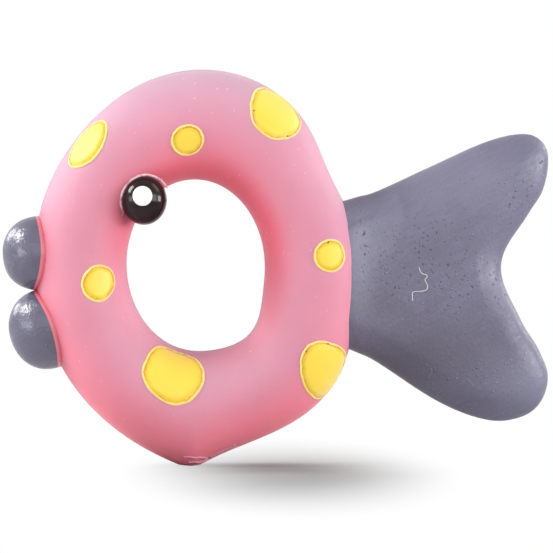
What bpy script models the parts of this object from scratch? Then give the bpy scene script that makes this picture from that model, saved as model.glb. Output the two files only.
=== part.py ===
"""Squeaky fish dog toy: two latex half-skins bonded on a mid-plane seam, with a hollow tail, lips,
eyes, raised spots and a squeaker insert. Metres, +Z up, nose towards -X, front face towards -Y."""

import math

import bmesh
import bpy
from mathutils import Matrix, Vector, geometry

# Fits and walls
CLEARANCE = 0.0003
SKIN_WALL = 0.0022
SEAM_THICKNESS = 0.0009

# Ring body, measured from the centre of its hole
HOLE_WIDTH = 0.0410
HOLE_HEIGHT = 0.0508
HOLE_TILT = math.radians(1.8)
HOLE_CORNER = 0.0026
HOLE_CORNER_ANGLE = math.radians(-51)
HOLE_CORNER_SPREAD = math.radians(22)
RING_WIDTH = 0.0940
CROWN_RISE = 0.0575
CROWN_LEAN = math.radians(5.9)
BELLY_DROP = 0.0530
RING_DEPTH = 0.0300
VENT_BULGE = 0.0043
VENT_ANGLE = math.radians(-43)
VENT_SPREAD = math.radians(26)
SHOULDER_DIP = 0.0031
SHOULDER_ANGLE = math.radians(35.3)
SHOULDER_SPREAD = math.radians(16.6)
NAPE_BULGE = 0.0009
NAPE_ANGLE = math.radians(156)
NAPE_SPREAD = math.radians(22)

# Belly tip, trimmed flat where the toy stands
TIP_LENGTH = 0.0065
TIP_ANGLE = math.radians(-91.5)
TIP_BLUNT = math.radians(2.0)
TIP_THROAT_SPREAD = math.radians(19)
TIP_VENT_SPREAD = math.radians(9)
FOOT_TRIM = 0.0006

# Tail, measured from the ring's right edge at the height of the hole's centre. Its depths at the root
# and at the tip are shares of the ring's depth.
TAIL_LENGTH = 0.0570
TAIL_NECK = 0.0050
TAIL_SEAT = 0.0180
TAIL_ROOT_RISE = 0.0212
TAIL_ROOT_DROP = 0.0279
UPPER_LOBE_RISE = 0.0387
LOWER_LOBE_DROP = 0.0461
NOTCH_DEPTH = 0.0139
TAIL_ROOT_SHARE = 0.56
TAIL_TIP_SHARE = 0.50
TAIL_EDGE_ROUND = 0.0048
TAIL_WALL = 0.0020
TAIL_PORT_RADIUS = 0.0045
TAIL_HINGE_REACH = 0.0030

# Lips: reach out from the ring, and half sizes along the outline and in depth
UPPER_LIP_ANGLE = math.radians(175.6)
LOWER_LIP_ANGLE = math.radians(203.6)
UPPER_LIP_REACH = 0.0092
LOWER_LIP_REACH = 0.0102
UPPER_LIP_HALF_HEIGHT = 0.0110
LOWER_LIP_HALF_HEIGHT = 0.0120
LIP_HALF_DEPTH = 0.0095
LIP_WALL = 0.0020

# Eye beads, each with a round dot on it
EYE_ANGLE = math.radians(128.5)
EYE_FROM_HOLE = 0.0012
EYE_RADIUS = 0.0069
EYE_HALF_DEPTH = 0.0064
EYE_CENTRE_DEPTH = 0.0110
DOT_RADIUS = 0.0029
DOT_RISE = 0.0018
DOT_THICKNESS = 0.0005

# Spots: angle round the ring, turn round its section, length along it and width round it
SPOTS = {
    "brow": (math.radians(131.7), math.radians(38.5), 0.0166, 0.0120),
    "crown": (math.radians(94), math.radians(105), 0.0098, 0.0098),
    "shoulder": (math.radians(62), math.radians(42), 0.0172, 0.0192),
    "cheek": (math.radians(189.2), math.radians(113), 0.0108, 0.0114),
    "flank": (math.radians(4.8), math.radians(66), 0.0098, 0.0098),
    "belly": (math.radians(-102), math.radians(127), 0.0186, 0.0194),
    "vent": (math.radians(-39), math.radians(43), 0.0170, 0.0196),
}
SPOT_RIM = 0.0006
SPOT_CROWN = 0.0014

# Squeaker insert on the back of the belly, its axis along Y
SQUEAKER_ANGLE = math.radians(-70)
SEAT_DEPTH = 0.0016
BOSS_WALL = 0.0015
BOSS_FLOOR = 0.0028
FLANGE_RADIUS = 0.0075
FLANGE_THICKNESS = 0.0012
BARREL_RADIUS = 0.0056
BARREL_WALL = 0.0012
BARREL_LENGTH = 0.0100
BARB_REACH = 0.0009
BARB_LENGTH = 0.0011
GRILLE_RADIUS = 0.0052
GRILLE_THICKNESS = 0.0007
GRILLE_HOLE_RADIUS = 0.0007
GRILLE_HOLE_CIRCLE = 0.0026
GRILLE_HOLES = 6
REED_WIDTH = 0.0036
REED_LENGTH = 0.0086
REED_THICKNESS = 0.00025
REED_CLAMP = 0.0032
CHANNEL_WIDTH = 0.0022
CHANNEL_DEPTH = 0.0016

# Facets
STATIONS = 64
TIP_GATHER = 0.7
SECTION_STEPS = 10
LINING_STEPS = 6
TAIL_STEPS = 5
TAIL_EDGE_STEPS = 3
SPOT_SIDES = 16
ROUND_SIDES = 32
BEAD_SIDES = 24
BEAD_RINGS = 14
SHARP_ANGLE = math.radians(40)

# Levels along the squeaker's axis, from the mid-plane out to the back
SEAT_LEVEL = RING_DEPTH / 2 - SEAT_DEPTH
BOSS_LEVEL = SEAT_LEVEL - BOSS_FLOOR
FLANGE_LEVEL = SEAT_LEVEL + CLEARANCE
FACE_LEVEL = FLANGE_LEVEL + FLANGE_THICKNESS
LEDGE_LEVEL = FACE_LEVEL - GRILLE_THICKNESS - CLEARANCE
BARREL_LEVEL = FLANGE_LEVEL - BARREL_LENGTH
CLAMP_LEVEL = LEDGE_LEVEL - CLEARANCE
BORE_RADIUS = BARREL_RADIUS - BARREL_WALL


def angle_between(angle, other):
    """The turn from one angle to another, between minus and plus half a circle."""
    return (angle - other + math.pi) % math.tau - math.pi


def bump(angle, centre, spread):
    """A smooth rise of 1 at the centre angle."""
    return math.exp(-((angle_between(angle, centre) / spread) ** 2))


def ellipse_radius(angle, half_width, half_height):
    return 1 / math.hypot(math.cos(angle) / half_width, math.sin(angle) / half_height)


def hole_radius(angle):
    corner = HOLE_CORNER * bump(angle, HOLE_CORNER_ANGLE, HOLE_CORNER_SPREAD)
    return ellipse_radius(angle - HOLE_TILT, HOLE_WIDTH / 2, HOLE_HEIGHT / 2) + corner


def outer_radius(angle):
    """The ring's outline: an egg that leans towards the tail, with a full vent and nape, a flat shoulder
    and a drawn-out belly tip."""
    if math.sin(angle) > 0:
        egg = ellipse_radius(angle + CROWN_LEAN, RING_WIDTH / 2, CROWN_RISE)
    else:
        egg = ellipse_radius(angle, RING_WIDTH / 2, BELLY_DROP)
    vent = VENT_BULGE * bump(angle, VENT_ANGLE, VENT_SPREAD)
    nape = NAPE_BULGE * bump(angle, NAPE_ANGLE, NAPE_SPREAD)
    shoulder = SHOULDER_DIP * bump(angle, SHOULDER_ANGLE, SHOULDER_SPREAD)
    from_tip = angle_between(angle, TIP_ANGLE)
    spread = TIP_VENT_SPREAD if from_tip > 0 else TIP_THROAT_SPREAD
    tip = TIP_LENGTH * math.exp((TIP_BLUNT - math.hypot(from_tip, TIP_BLUNT)) / spread)
    return egg + vent + nape - shoulder + tip


def lip_centre(angle):
    radius = outer_radius(angle)
    return Vector((radius * math.cos(angle), 0, radius * math.sin(angle)))


# Reaches from the hole's centre to the part's ends, which place the part's origin under its middle
RIM_EDGE = SEAM_THICKNESS / 2 + CLEARANCE
NOSE_REACH = -lip_centre(UPPER_LIP_ANGLE).x + math.hypot(
    UPPER_LIP_REACH * math.cos(UPPER_LIP_ANGLE), UPPER_LIP_HALF_HEIGHT * math.sin(UPPER_LIP_ANGLE)
)
TAIL_REACH = RING_WIDTH / 2 + TAIL_LENGTH
FOOT_REACH = -outer_radius(TIP_ANGLE) * math.sin(TIP_ANGLE) - FOOT_TRIM
RING_CENTRE = Vector(((NOSE_REACH - TAIL_REACH) / 2, 0, FOOT_REACH))


def ring_point(angle, turn, lift=0.0):
    """A point on the front half of the ring, from its hole's centre. The turn goes round the section,
    from 0 on the outside edge over the front to half a circle on the hole's edge."""
    inner = hole_radius(angle)
    outer = outer_radius(angle)
    radius = (outer + inner) / 2 + ((outer - inner) / 2 + lift) * math.cos(turn)
    depth = RIM_EDGE + (RING_DEPTH / 2 - RIM_EDGE + lift) * math.sin(turn)
    return Vector((radius * math.cos(angle), -depth, radius * math.sin(angle)))


def ring_normal(angle, turn):
    step = 0.001
    along = ring_point(angle + step, turn) - ring_point(angle - step, turn)
    around = ring_point(angle, turn + step) - ring_point(angle, turn - step)
    return along.cross(around).normalized()


def mirrored(points):
    return [Vector((point.x, -point.y, point.z)) for point in points]


def station_angles():
    """Angles round the ring, gathered at the belly tip where the outline turns sharply."""
    steps = [math.tau * index / STATIONS for index in range(STATIONS)]
    return [TIP_ANGLE + step - TIP_GATHER * math.sin(step) for step in steps]


def turns(count):
    return [math.pi * index / count for index in range(count + 1)]


def make_material(name, colour, roughness):
    material = bpy.data.materials.new(name)
    material.use_nodes = True
    shader = material.node_tree.nodes["Principled BSDF"]
    shader.inputs["Base Color"].default_value = (*colour, 1)
    shader.inputs["Roughness"].default_value = roughness
    shader.inputs["Metallic"].default_value = 0
    return material


def make_empty(name, place, parent=None):
    """An empty on a joint's axis, placed from the hole's centre."""
    empty = bpy.data.objects.new(name, None)
    bpy.context.scene.collection.objects.link(empty)
    empty.parent = parent
    empty.location = place
    return empty


def add_object(name, shape, parent, material=None):
    """Makes an object from a mesh whose points are measured from the hole's centre."""
    bmesh.ops.recalc_face_normals(shape, faces=shape.faces[:])
    mesh = bpy.data.meshes.new(name)
    shape.to_mesh(mesh)
    shape.free()
    mesh.shade_smooth()
    mesh.set_sharp_from_angle(angle=SHARP_ANGLE)
    thing = bpy.data.objects.new(name, mesh)
    bpy.context.scene.collection.objects.link(thing)
    thing.parent = parent
    thing.location = RING_CENTRE - joint_place(parent)
    if material:
        mesh.materials.append(material)
    else:
        thing.hide_render = True
        thing.display_type = "WIRE"
    return thing


def joint_place(empty):
    """Where an empty lies in the world."""
    place = empty.location.copy()
    while empty.parent:
        empty = empty.parent
        place += empty.location
    return place


def combine(thing, other, operation):
    modifier = thing.modifiers.new(operation.lower() + "_" + other.name, "BOOLEAN")
    modifier.operation = operation
    modifier.object = other


def loft(loops, closed=False, start=None, end=None):
    """A mesh through loops of points. Open ends close on a start and an end point, or as flat caps."""
    shape = bmesh.new()
    rings = [[shape.verts.new(point) for point in loop] for loop in loops]
    pairs = list(zip(rings, rings[1:]))
    if closed:
        pairs.append((rings[-1], rings[0]))
    for near, far in pairs:
        for index in range(len(near)):
            shape.faces.new((near[index - 1], near[index], far[index], far[index - 1]))
    if not closed:
        close_end(shape, rings[0], start)
        close_end(shape, rings[-1], end)
    return shape


def close_end(shape, ring, point):
    if point is None:
        shape.faces.new(ring)
        return
    centre = shape.verts.new(point)
    for index in range(len(ring)):
        shape.faces.new((ring[index - 1], ring[index], centre))


def prism(outline, low, high):
    """A mesh of an outline in X and Z, extruded along Y."""
    return loft([[Vector((point.x, level, point.y)) for point in outline] for level in (low, high)])


def arc(radius, first, last, count, centre=Vector((0, 0))):
    """Points on an arc in a plane."""
    angles = [first + (last - first) * index / count for index in range(count + 1)]
    return [centre + radius * Vector((math.cos(angle), math.sin(angle))) for angle in angles]


def disc(radius, low, high, centre):
    return prism(arc(radius, 0, math.tau, ROUND_SIDES, centre)[:-1], low, high)


def joined(shapes):
    """One mesh of several."""
    whole = bmesh.new()
    for shape in shapes:
        mesh = bpy.data.meshes.new("piece")
        shape.to_mesh(mesh)
        shape.free()
        whole.from_mesh(mesh)
        bpy.data.meshes.remove(mesh)
    return whole


def turned(profile, centre):
    """A mesh of a profile of radii and levels, turned round an axis along Y."""
    loops = []
    for index in range(ROUND_SIDES):
        angle = math.tau * index / ROUND_SIDES
        outward = Vector((math.cos(angle), 0, math.sin(angle)))
        middle = Vector((centre.x, 0, centre.y))
        loops.append([middle + radius * outward + Vector((0, level, 0)) for radius, level in profile])
    return loft(loops, closed=True)


def ellipsoid(half_sizes, centre, tilt=0.0):
    shape = bmesh.new()
    bmesh.ops.create_uvsphere(shape, u_segments=BEAD_SIDES, v_segments=BEAD_RINGS, radius=1)
    place = Matrix.Translation(centre) @ Matrix.Rotation(-tilt, 4, "Y") @ Matrix.Diagonal((*half_sizes, 1))
    bmesh.ops.transform(shape, matrix=place, verts=shape.verts)
    return shape


# The ring
def skin_loops(side):
    loops = []
    for angle in station_angles():
        outside = [ring_point(angle, turn) for turn in turns(SECTION_STEPS)]
        lining = [ring_point(angle, turn, -SKIN_WALL) for turn in reversed(turns(LINING_STEPS))]
        loops.append(side(outside + lining))
    return loops


def seam_loops(turn, lift):
    """Loops of a flat band on the mid-plane, from the ring's surface down through its wall."""
    loops = []
    for angle in station_angles():
        edge, depth = ring_point(angle, turn), ring_point(angle, turn, lift)
        corners = ((edge, -1), (edge, 1), (depth, 1), (depth, -1))
        loops.append([Vector((point.x, way * SEAM_THICKNESS / 2, point.z)) for point, way in corners])
    return loops


def envelope_loops():
    """Loops of the whole ring grown by the clearance, which seats what is bonded to it."""
    loops = []
    for angle in station_angles():
        front = [ring_point(angle, turn, CLEARANCE) for turn in turns(SECTION_STEPS)]
        loops.append(front + mirrored(reversed(front)))
    return loops


# The tail
def smooth_outline(corners, steps):
    """Points on a closed smooth curve through the corners."""
    points = []
    count = len(corners)
    for index in range(count):
        before, here, after, beyond = [corners[(index + offset) % count] for offset in (-1, 0, 1, 2)]
        handle = (after - here).length / 3
        leave = here + (after - before).normalized() * handle
        arrive = after - (beyond - here).normalized() * handle
        points += geometry.interpolate_bezier(here, leave, arrive, after, steps + 1)[:-1]
    return points


def tail_outline():
    edge = RING_WIDTH / 2
    neck = edge + TAIL_NECK
    span = TAIL_LENGTH - TAIL_NECK
    notch = edge + TAIL_LENGTH - NOTCH_DEPTH
    swell = UPPER_LOBE_RISE - TAIL_ROOT_RISE
    droop = LOWER_LOBE_DROP - TAIL_ROOT_DROP
    upper = [
        (edge - 0.7 * TAIL_SEAT, 0.7 * TAIL_ROOT_RISE),
        (edge, 0.94 * TAIL_ROOT_RISE),
        (neck, TAIL_ROOT_RISE),
        (neck + 0.34 * span, TAIL_ROOT_RISE + 0.46 * swell),
        (neck + 0.66 * span, TAIL_ROOT_RISE + 0.88 * swell),
        (neck + 0.865 * span, UPPER_LOBE_RISE),
        (neck + 0.96 * span, 0.947 * UPPER_LOBE_RISE),
        (neck + span, 0.82 * UPPER_LOBE_RISE),
        (neck + 0.97 * span, 0.57 * UPPER_LOBE_RISE),
        (notch + 0.60 * NOTCH_DEPTH, 0.40 * UPPER_LOBE_RISE),
    ]
    lower = [
        (notch + 0.43 * NOTCH_DEPTH, -0.36 * LOWER_LOBE_DROP),
        (neck + 0.945 * span, -0.54 * LOWER_LOBE_DROP),
        (neck + span, -0.73 * LOWER_LOBE_DROP),
        (neck + 0.93 * span, -0.92 * LOWER_LOBE_DROP),
        (neck + 0.76 * span, -LOWER_LOBE_DROP),
        (neck + 0.58 * span, -0.975 * LOWER_LOBE_DROP),
        (neck + 0.35 * span, -TAIL_ROOT_DROP - 0.65 * droop),
        (neck, -TAIL_ROOT_DROP),
        (edge, -0.92 * TAIL_ROOT_DROP),
        (edge - 0.7 * TAIL_SEAT, -0.7 * TAIL_ROOT_DROP),
        (edge - TAIL_SEAT, 0),
    ]
    corners = [Vector(point) for point in upper + [(notch, 0)] + lower]
    return smooth_outline(corners, TAIL_STEPS)


def inset(outline, distance):
    """The outline, which runs clockwise, moved inwards."""
    moved = []
    for index, point in enumerate(outline):
        along = (outline[(index + 1) % len(outline)] - outline[index - 1]).normalized()
        moved.append(point + distance * Vector((along.y, -along.x)))
    return moved


def tail_half_depth(across):
    along = (across - RING_WIDTH / 2) / TAIL_LENGTH
    share = TAIL_ROOT_SHARE + (TAIL_TIP_SHARE - TAIL_ROOT_SHARE) * along
    return share * RING_DEPTH / 2


def tail_shape(wall):
    """A pillow of the tail's outline with round edges, moved inwards by a wall."""
    outline = inset(tail_outline(), wall)
    front = []
    for index in range(TAIL_EDGE_STEPS + 1):
        turn = math.pi / 2 * index / TAIL_EDGE_STEPS
        loop = inset(outline, (TAIL_EDGE_ROUND - wall) * (1 - math.cos(turn)))
        depth = math.sin(turn)
        front.append([Vector((p.x, -depth * (tail_half_depth(p.x) - wall), p.y)) for p in loop])
    back = [mirrored(loop) for loop in front[1:]]
    return loft(list(reversed(front)) + back)


# Lips, eyes and spots
def lip_shape(angle, reach, half_height, lift):
    half_sizes = (reach + lift, LIP_HALF_DEPTH + lift, half_height + lift)
    return ellipsoid(half_sizes, lip_centre(angle), angle)


def eye_centre():
    radius = hole_radius(EYE_ANGLE) + EYE_FROM_HOLE
    return Vector((radius * math.cos(EYE_ANGLE), -EYE_CENTRE_DEPTH, radius * math.sin(EYE_ANGLE)))


def dot_ring(share, lift):
    """A ring of points round the dot's middle, lifted from the bead."""
    tilt = Matrix.Rotation(math.asin(DOT_RISE / EYE_RADIUS), 3, "X")
    spread = share * math.asin(DOT_RADIUS / EYE_RADIUS)
    points = []
    for index in range(SPOT_SIDES):
        turn = math.tau * index / SPOT_SIDES
        sideways = math.sin(spread)
        ray = Vector((sideways * math.cos(turn), -math.cos(spread), sideways * math.sin(turn)))
        ray.rotate(tilt.inverted())
        half_sizes = Vector((EYE_RADIUS + lift, EYE_HALF_DEPTH + lift, EYE_RADIUS + lift))
        points.append(eye_centre() + ray * half_sizes)
    return points


def dot_loops():
    low, high = CLEARANCE, CLEARANCE + DOT_THICKNESS
    return [dot_ring(share, lift) for share, lift in ((0.5, low), (1, low), (1, high), (0.5, high))]


def spot_point(spot, share, turn, lift):
    angle, around, length, width = spot
    section = (outer_radius(angle) - hole_radius(angle)) / 2
    reach = ring_point(angle, around).xz.length
    spot_angle = angle + share * length / 2 * math.cos(turn) / reach
    spot_turn = around + share * width / 2 * math.sin(turn) / section
    return ring_point(spot_angle, spot_turn) + ring_normal(spot_angle, spot_turn) * lift


def spot_ring(spot, share, lift):
    return [spot_point(spot, share, math.tau * side / SPOT_SIDES, lift) for side in range(SPOT_SIDES)]


def spot_loops(spot):
    rim = CLEARANCE + SPOT_RIM
    crown = CLEARANCE + SPOT_CROWN
    levels = ((0.5, CLEARANCE), (1, CLEARANCE), (1, rim), (0.85, (rim + crown) / 2), (0.5, crown))
    return [spot_ring(spot, share, lift) for share, lift in levels]


def spot_shape(spot, side):
    start = spot_point(spot, 0, 0, CLEARANCE)
    end = spot_point(spot, 0, 0, CLEARANCE + SPOT_CROWN)
    return loft([side(loop) for loop in spot_loops(spot)], start=side([start])[0], end=side([end])[0])


def dot_shape(side):
    loops = [side(loop) for loop in dot_loops()]
    low = dot_ring(0, CLEARANCE)[0]
    high = dot_ring(0, CLEARANCE + DOT_THICKNESS)[0]
    return loft(loops, start=side([low])[0], end=side([high])[0])


# The squeaker
def squeaker_place():
    """The squeaker's axis in X and Z."""
    radius = (outer_radius(SQUEAKER_ANGLE) + hole_radius(SQUEAKER_ANGLE)) / 2
    return radius * Vector((math.cos(SQUEAKER_ANGLE), math.sin(SQUEAKER_ANGLE)))


def plug_profile():
    barb_high = BOSS_LEVEL - CLEARANCE
    recess = GRILLE_RADIUS + CLEARANCE
    return [
        (BORE_RADIUS, BARREL_LEVEL),
        (BARREL_RADIUS, BARREL_LEVEL),
        (BARREL_RADIUS, barb_high - BARB_LENGTH),
        (BARREL_RADIUS + BARB_REACH, barb_high),
        (BARREL_RADIUS, barb_high),
        (BARREL_RADIUS, FLANGE_LEVEL),
        (FLANGE_RADIUS, FLANGE_LEVEL),
        (FLANGE_RADIUS, FACE_LEVEL),
        (recess, FACE_LEVEL),
        (recess, LEDGE_LEVEL),
        (BORE_RADIUS, LEDGE_LEVEL),
    ]


def half_round(radius, flat, above):
    """An outline of the part of the squeaker's round that lies above or below a level."""
    lean = math.asin(flat / radius)
    first, last = (lean, math.pi - lean) if above else (math.pi - lean, math.tau + lean)
    return arc(radius, first, last, ROUND_SIDES // 2, squeaker_place())


def tone_board_outline():
    flat = -(REED_THICKNESS / 2 + CLEARANCE)
    channel = [(1, 0), (1, -CHANNEL_DEPTH), (-1, -CHANNEL_DEPTH), (-1, 0)]
    groove = [Vector((way * CHANNEL_WIDTH / 2, flat + drop)) + squeaker_place() for way, drop in channel]
    return half_round(BORE_RADIUS - CLEARANCE, flat, above=False) + groove


def reed_outline():
    half = Vector((REED_WIDTH / 2, REED_THICKNESS / 2))
    corners = [(-1, -1), (1, -1), (1, 1), (-1, 1)]
    return [squeaker_place() + half * Vector(corner) for corner in corners]


def build():
    for thing in list(bpy.data.objects):
        bpy.data.objects.remove(thing)

    pink = make_material("pink_latex", (0.76, 0.29, 0.36), 0.55)
    grey = make_material("grey_latex", (0.19, 0.18, 0.25), 0.5)
    yellow = make_material("yellow_latex", (0.98, 0.70, 0.10), 0.45)
    black = make_material("black_gloss", (0.012, 0.008, 0.008), 0.12)
    white = make_material("white_paint", (0.93, 0.91, 0.90), 0.4)
    ivory = make_material("ivory_plastic", (0.80, 0.76, 0.66), 0.4)
    film = make_material("reed_film", (0.55, 0.60, 0.62), 0.25)

    # Empties on the joints' axes
    root = make_empty("midline", Vector((0, 0, 0)))
    sides = {
        "front": (make_empty("front_squeeze", RING_CENTRE, root), list),
        "back": (make_empty("back_squeeze", RING_CENTRE, root), mirrored),
    }
    back = sides["back"][0]
    hinge_reach = RING_WIDTH / 2 + TAIL_HINGE_REACH
    tail_hinge = make_empty("tail_hinge", RING_CENTRE + Vector((hinge_reach, 0, 0)), root)
    squeaker = squeaker_place()
    reed_level = CLAMP_LEVEL - REED_CLAMP / 2
    reed_hinge = make_empty("reed_hinge", Vector((squeaker.x, reed_level, squeaker.y)), back)

    # Cutters
    envelope = add_object("ring_envelope", loft(envelope_loops(), closed=True), root)
    port_reach = RING_WIDTH / 2 + TAIL_PORT_RADIUS
    port_shape = bmesh.new()
    bmesh.ops.create_cone(
        port_shape,
        cap_ends=True,
        segments=ROUND_SIDES // 2,
        radius1=TAIL_PORT_RADIUS,
        radius2=TAIL_PORT_RADIUS,
        depth=port_reach,
        matrix=Matrix.Translation((port_reach, 0, 0)) @ Matrix.Rotation(math.pi / 2, 4, "Y"),
    )
    port = add_object("tail_port", port_shape, root)
    foot_half = RING_DEPTH
    foot_corners = [(-1, -1), (1, -1), (1, 1), (-1, 1)]
    foot_below = Vector((0, -FOOT_REACH - foot_half))
    foot_outline = [foot_below + foot_half * Vector(corner) for corner in foot_corners]
    foot = add_object("foot_trim", prism(foot_outline, -foot_half, foot_half), root)

    # Ring skins and their bond lines
    for name, (joint, side) in sides.items():
        skin = add_object(name + "_skin", loft(skin_loops(side), closed=True), joint, pink)
        combine(skin, port, "DIFFERENCE")
        combine(skin, foot, "DIFFERENCE")
    back_skin = bpy.data.objects["back_skin"]
    outer_seam = add_object("outer_seam", loft(seam_loops(0, -SKIN_WALL), closed=True), root, pink)
    combine(outer_seam, port, "DIFFERENCE")
    combine(outer_seam, foot, "DIFFERENCE")
    add_object("hole_seam", loft(seam_loops(math.pi, -SKIN_WALL), closed=True), root, pink)

    # Tail
    tail = add_object("tail_skin", tail_shape(0), tail_hinge, grey)
    combine(tail, add_object("tail_hollow", tail_shape(TAIL_WALL), tail_hinge), "DIFFERENCE")
    combine(tail, envelope, "DIFFERENCE")

    # Lips: the upper one overlaps the lower one
    lips = {
        "upper_lip": (UPPER_LIP_ANGLE, UPPER_LIP_REACH, UPPER_LIP_HALF_HEIGHT),
        "lower_lip": (LOWER_LIP_ANGLE, LOWER_LIP_REACH, LOWER_LIP_HALF_HEIGHT),
    }
    for name, sizes in lips.items():
        lip = add_object(name, lip_shape(*sizes, 0), root, grey)
        hollow = add_object(name + "_hollow", lip_shape(*sizes, -LIP_WALL), root)
        combine(lip, hollow, "DIFFERENCE")
        combine(lip, envelope, "DIFFERENCE")
    upper_envelope = add_object("upper_lip_envelope", lip_shape(*lips["upper_lip"], CLEARANCE), root)
    combine(bpy.data.objects["lower_lip"], upper_envelope, "DIFFERENCE")

    # Eyes and spots
    for name, (joint, side) in sides.items():
        half_sizes = (EYE_RADIUS, EYE_HALF_DEPTH, EYE_RADIUS)
        eye = add_object(name + "_eye", ellipsoid(half_sizes, side([eye_centre()])[0]), joint, black)
        combine(eye, envelope, "DIFFERENCE")
        add_object(name + "_eye_dot", dot_shape(side), joint, white)
        for place, spot in SPOTS.items():
            add_object(f"{name}_spot_{place}", spot_shape(spot, side), joint, yellow)

    # Squeaker seat in the back skin
    boss_radius = FLANGE_RADIUS + CLEARANCE + BOSS_WALL
    boss = add_object("squeaker_boss", disc(boss_radius, BOSS_LEVEL, SEAT_LEVEL, squeaker), back)
    combine(back_skin, boss, "UNION")
    recess_shape = disc(FLANGE_RADIUS + CLEARANCE, SEAT_LEVEL, RING_DEPTH, squeaker)
    combine(back_skin, add_object("squeaker_recess", recess_shape, back), "DIFFERENCE")
    bore_shape = disc(BARREL_RADIUS + CLEARANCE, 0, RING_DEPTH, squeaker)
    combine(back_skin, add_object("squeaker_bore", bore_shape, back), "DIFFERENCE")

    # Squeaker insert
    add_object("squeaker_plug", turned(plug_profile(), squeaker), back, ivory)
    grille_low = LEDGE_LEVEL + CLEARANCE
    grille = add_object("squeaker_grille", disc(GRILLE_RADIUS, grille_low, FACE_LEVEL, squeaker), back, ivory)
    holes = [squeaker] + arc(GRILLE_HOLE_CIRCLE, 0, math.tau, GRILLE_HOLES, squeaker)[:-1]
    hole_shapes = joined([disc(GRILLE_HOLE_RADIUS, BOSS_LEVEL, RING_DEPTH, place) for place in holes])
    combine(grille, add_object("grille_holes", hole_shapes, back), "DIFFERENCE")
    board_low = BARREL_LEVEL + CLEARANCE
    add_object("tone_board", prism(tone_board_outline(), board_low, CLAMP_LEVEL), back, ivory)
    wedge_outline = half_round(BORE_RADIUS - CLEARANCE, REED_THICKNESS / 2 + CLEARANCE, above=True)
    wedge_shape = prism(wedge_outline, CLAMP_LEVEL - REED_CLAMP, CLAMP_LEVEL)
    add_object("reed_wedge", wedge_shape, back, ivory)
    reed_shape = prism(reed_outline(), CLAMP_LEVEL - REED_LENGTH, CLAMP_LEVEL)
    add_object("reed", reed_shape, reed_hinge, film)


build()
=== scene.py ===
"""Looks of the squeaky fish dog toy: a soft pink latex ring with grey lips and tail, a black bead eye and
poured yellow spots, on a white studio floor. Metres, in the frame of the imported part."""

import math

import bpy
from mathutils import Matrix, Vector, geometry, noise


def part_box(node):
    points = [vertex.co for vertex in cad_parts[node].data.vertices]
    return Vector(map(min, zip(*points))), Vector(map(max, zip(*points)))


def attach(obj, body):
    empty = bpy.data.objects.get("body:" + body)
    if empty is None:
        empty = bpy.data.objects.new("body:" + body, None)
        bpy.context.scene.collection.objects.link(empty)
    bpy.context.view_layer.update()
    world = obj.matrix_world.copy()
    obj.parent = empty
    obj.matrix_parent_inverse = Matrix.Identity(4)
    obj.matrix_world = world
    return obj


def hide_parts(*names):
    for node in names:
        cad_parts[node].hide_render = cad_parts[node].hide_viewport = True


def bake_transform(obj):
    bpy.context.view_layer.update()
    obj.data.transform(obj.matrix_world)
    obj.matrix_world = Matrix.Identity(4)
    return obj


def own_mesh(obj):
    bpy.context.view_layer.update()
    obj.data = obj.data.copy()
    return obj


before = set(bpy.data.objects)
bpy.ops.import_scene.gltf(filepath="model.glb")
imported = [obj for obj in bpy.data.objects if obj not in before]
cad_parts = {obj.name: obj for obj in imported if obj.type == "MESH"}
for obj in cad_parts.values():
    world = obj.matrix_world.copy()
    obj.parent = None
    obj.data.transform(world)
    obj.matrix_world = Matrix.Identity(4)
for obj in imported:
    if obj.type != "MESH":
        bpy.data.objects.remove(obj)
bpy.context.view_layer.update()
bpy.ops.object.select_all(action="DESELECT")

# Ring, measured from the centre of its hole
SKIN_WALL = 0.0022
HOLE_WIDTH = 0.0410
HOLE_HEIGHT = 0.0508
HOLE_TILT = math.radians(1.8)
HOLE_CORNER = 0.0026
HOLE_CORNER_ANGLE = math.radians(-51)
HOLE_CORNER_SPREAD = math.radians(22)
RING_WIDTH = 0.0940
CROWN_RISE = 0.0575
CROWN_LEAN = math.radians(5.9)
BELLY_DROP = 0.0530
RING_DEPTH = 0.0300
VENT_BULGE = 0.0043
VENT_ANGLE = math.radians(-43)
VENT_SPREAD = math.radians(26)
SHOULDER_DIP = 0.0031
SHOULDER_ANGLE = math.radians(35.3)
SHOULDER_SPREAD = math.radians(16.6)
NAPE_BULGE = 0.0009
NAPE_ANGLE = math.radians(156)
NAPE_SPREAD = math.radians(22)
FLANK_SQUARE = 0.9
FLANK_SPREAD = math.radians(30)
SKIN_UNEVEN = 0.00022
SKIN_UNEVEN_SCALE = 60
SKIN_SHARP = math.radians(40)

# Belly tip
TIP_LENGTH = 0.0065
TIP_ANGLE = math.radians(-91.5)
TIP_BLUNT = math.radians(2.0)
TIP_THROAT_SPREAD = math.radians(19)
TIP_VENT_SPREAD = math.radians(9)
TIP_GATHER = 0.6

# Painted shade that makes the skin redder: towards the hole, and in creases round the lips and eyes. Also
# how much weaker the painted light on top is inside the hole
HOLE_SHADE_ANGLE = math.radians(66)
HOLE_SHADE_LEVEL = 0.5
HOLE_SHADE_SWING = 0.6
HOLE_SHADE_START = 0.3
HOLE_WEAKER_TOP_LIGHT = 0.8
CREASE_REACH = 0.0022
CREASE_SHADE_DEPTH = 0.8

# Squeaker seat in the back skin
SEAT_TOP = 0.0142
SEAT_RADIUS = 0.0090
SEAT_FOOT = 0.0125
RECESS_RADIUS = 0.0078
RECESS_FLOOR = 0.0134
BORE_RADIUS = 0.0059
BORE_SIDES = 96

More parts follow.
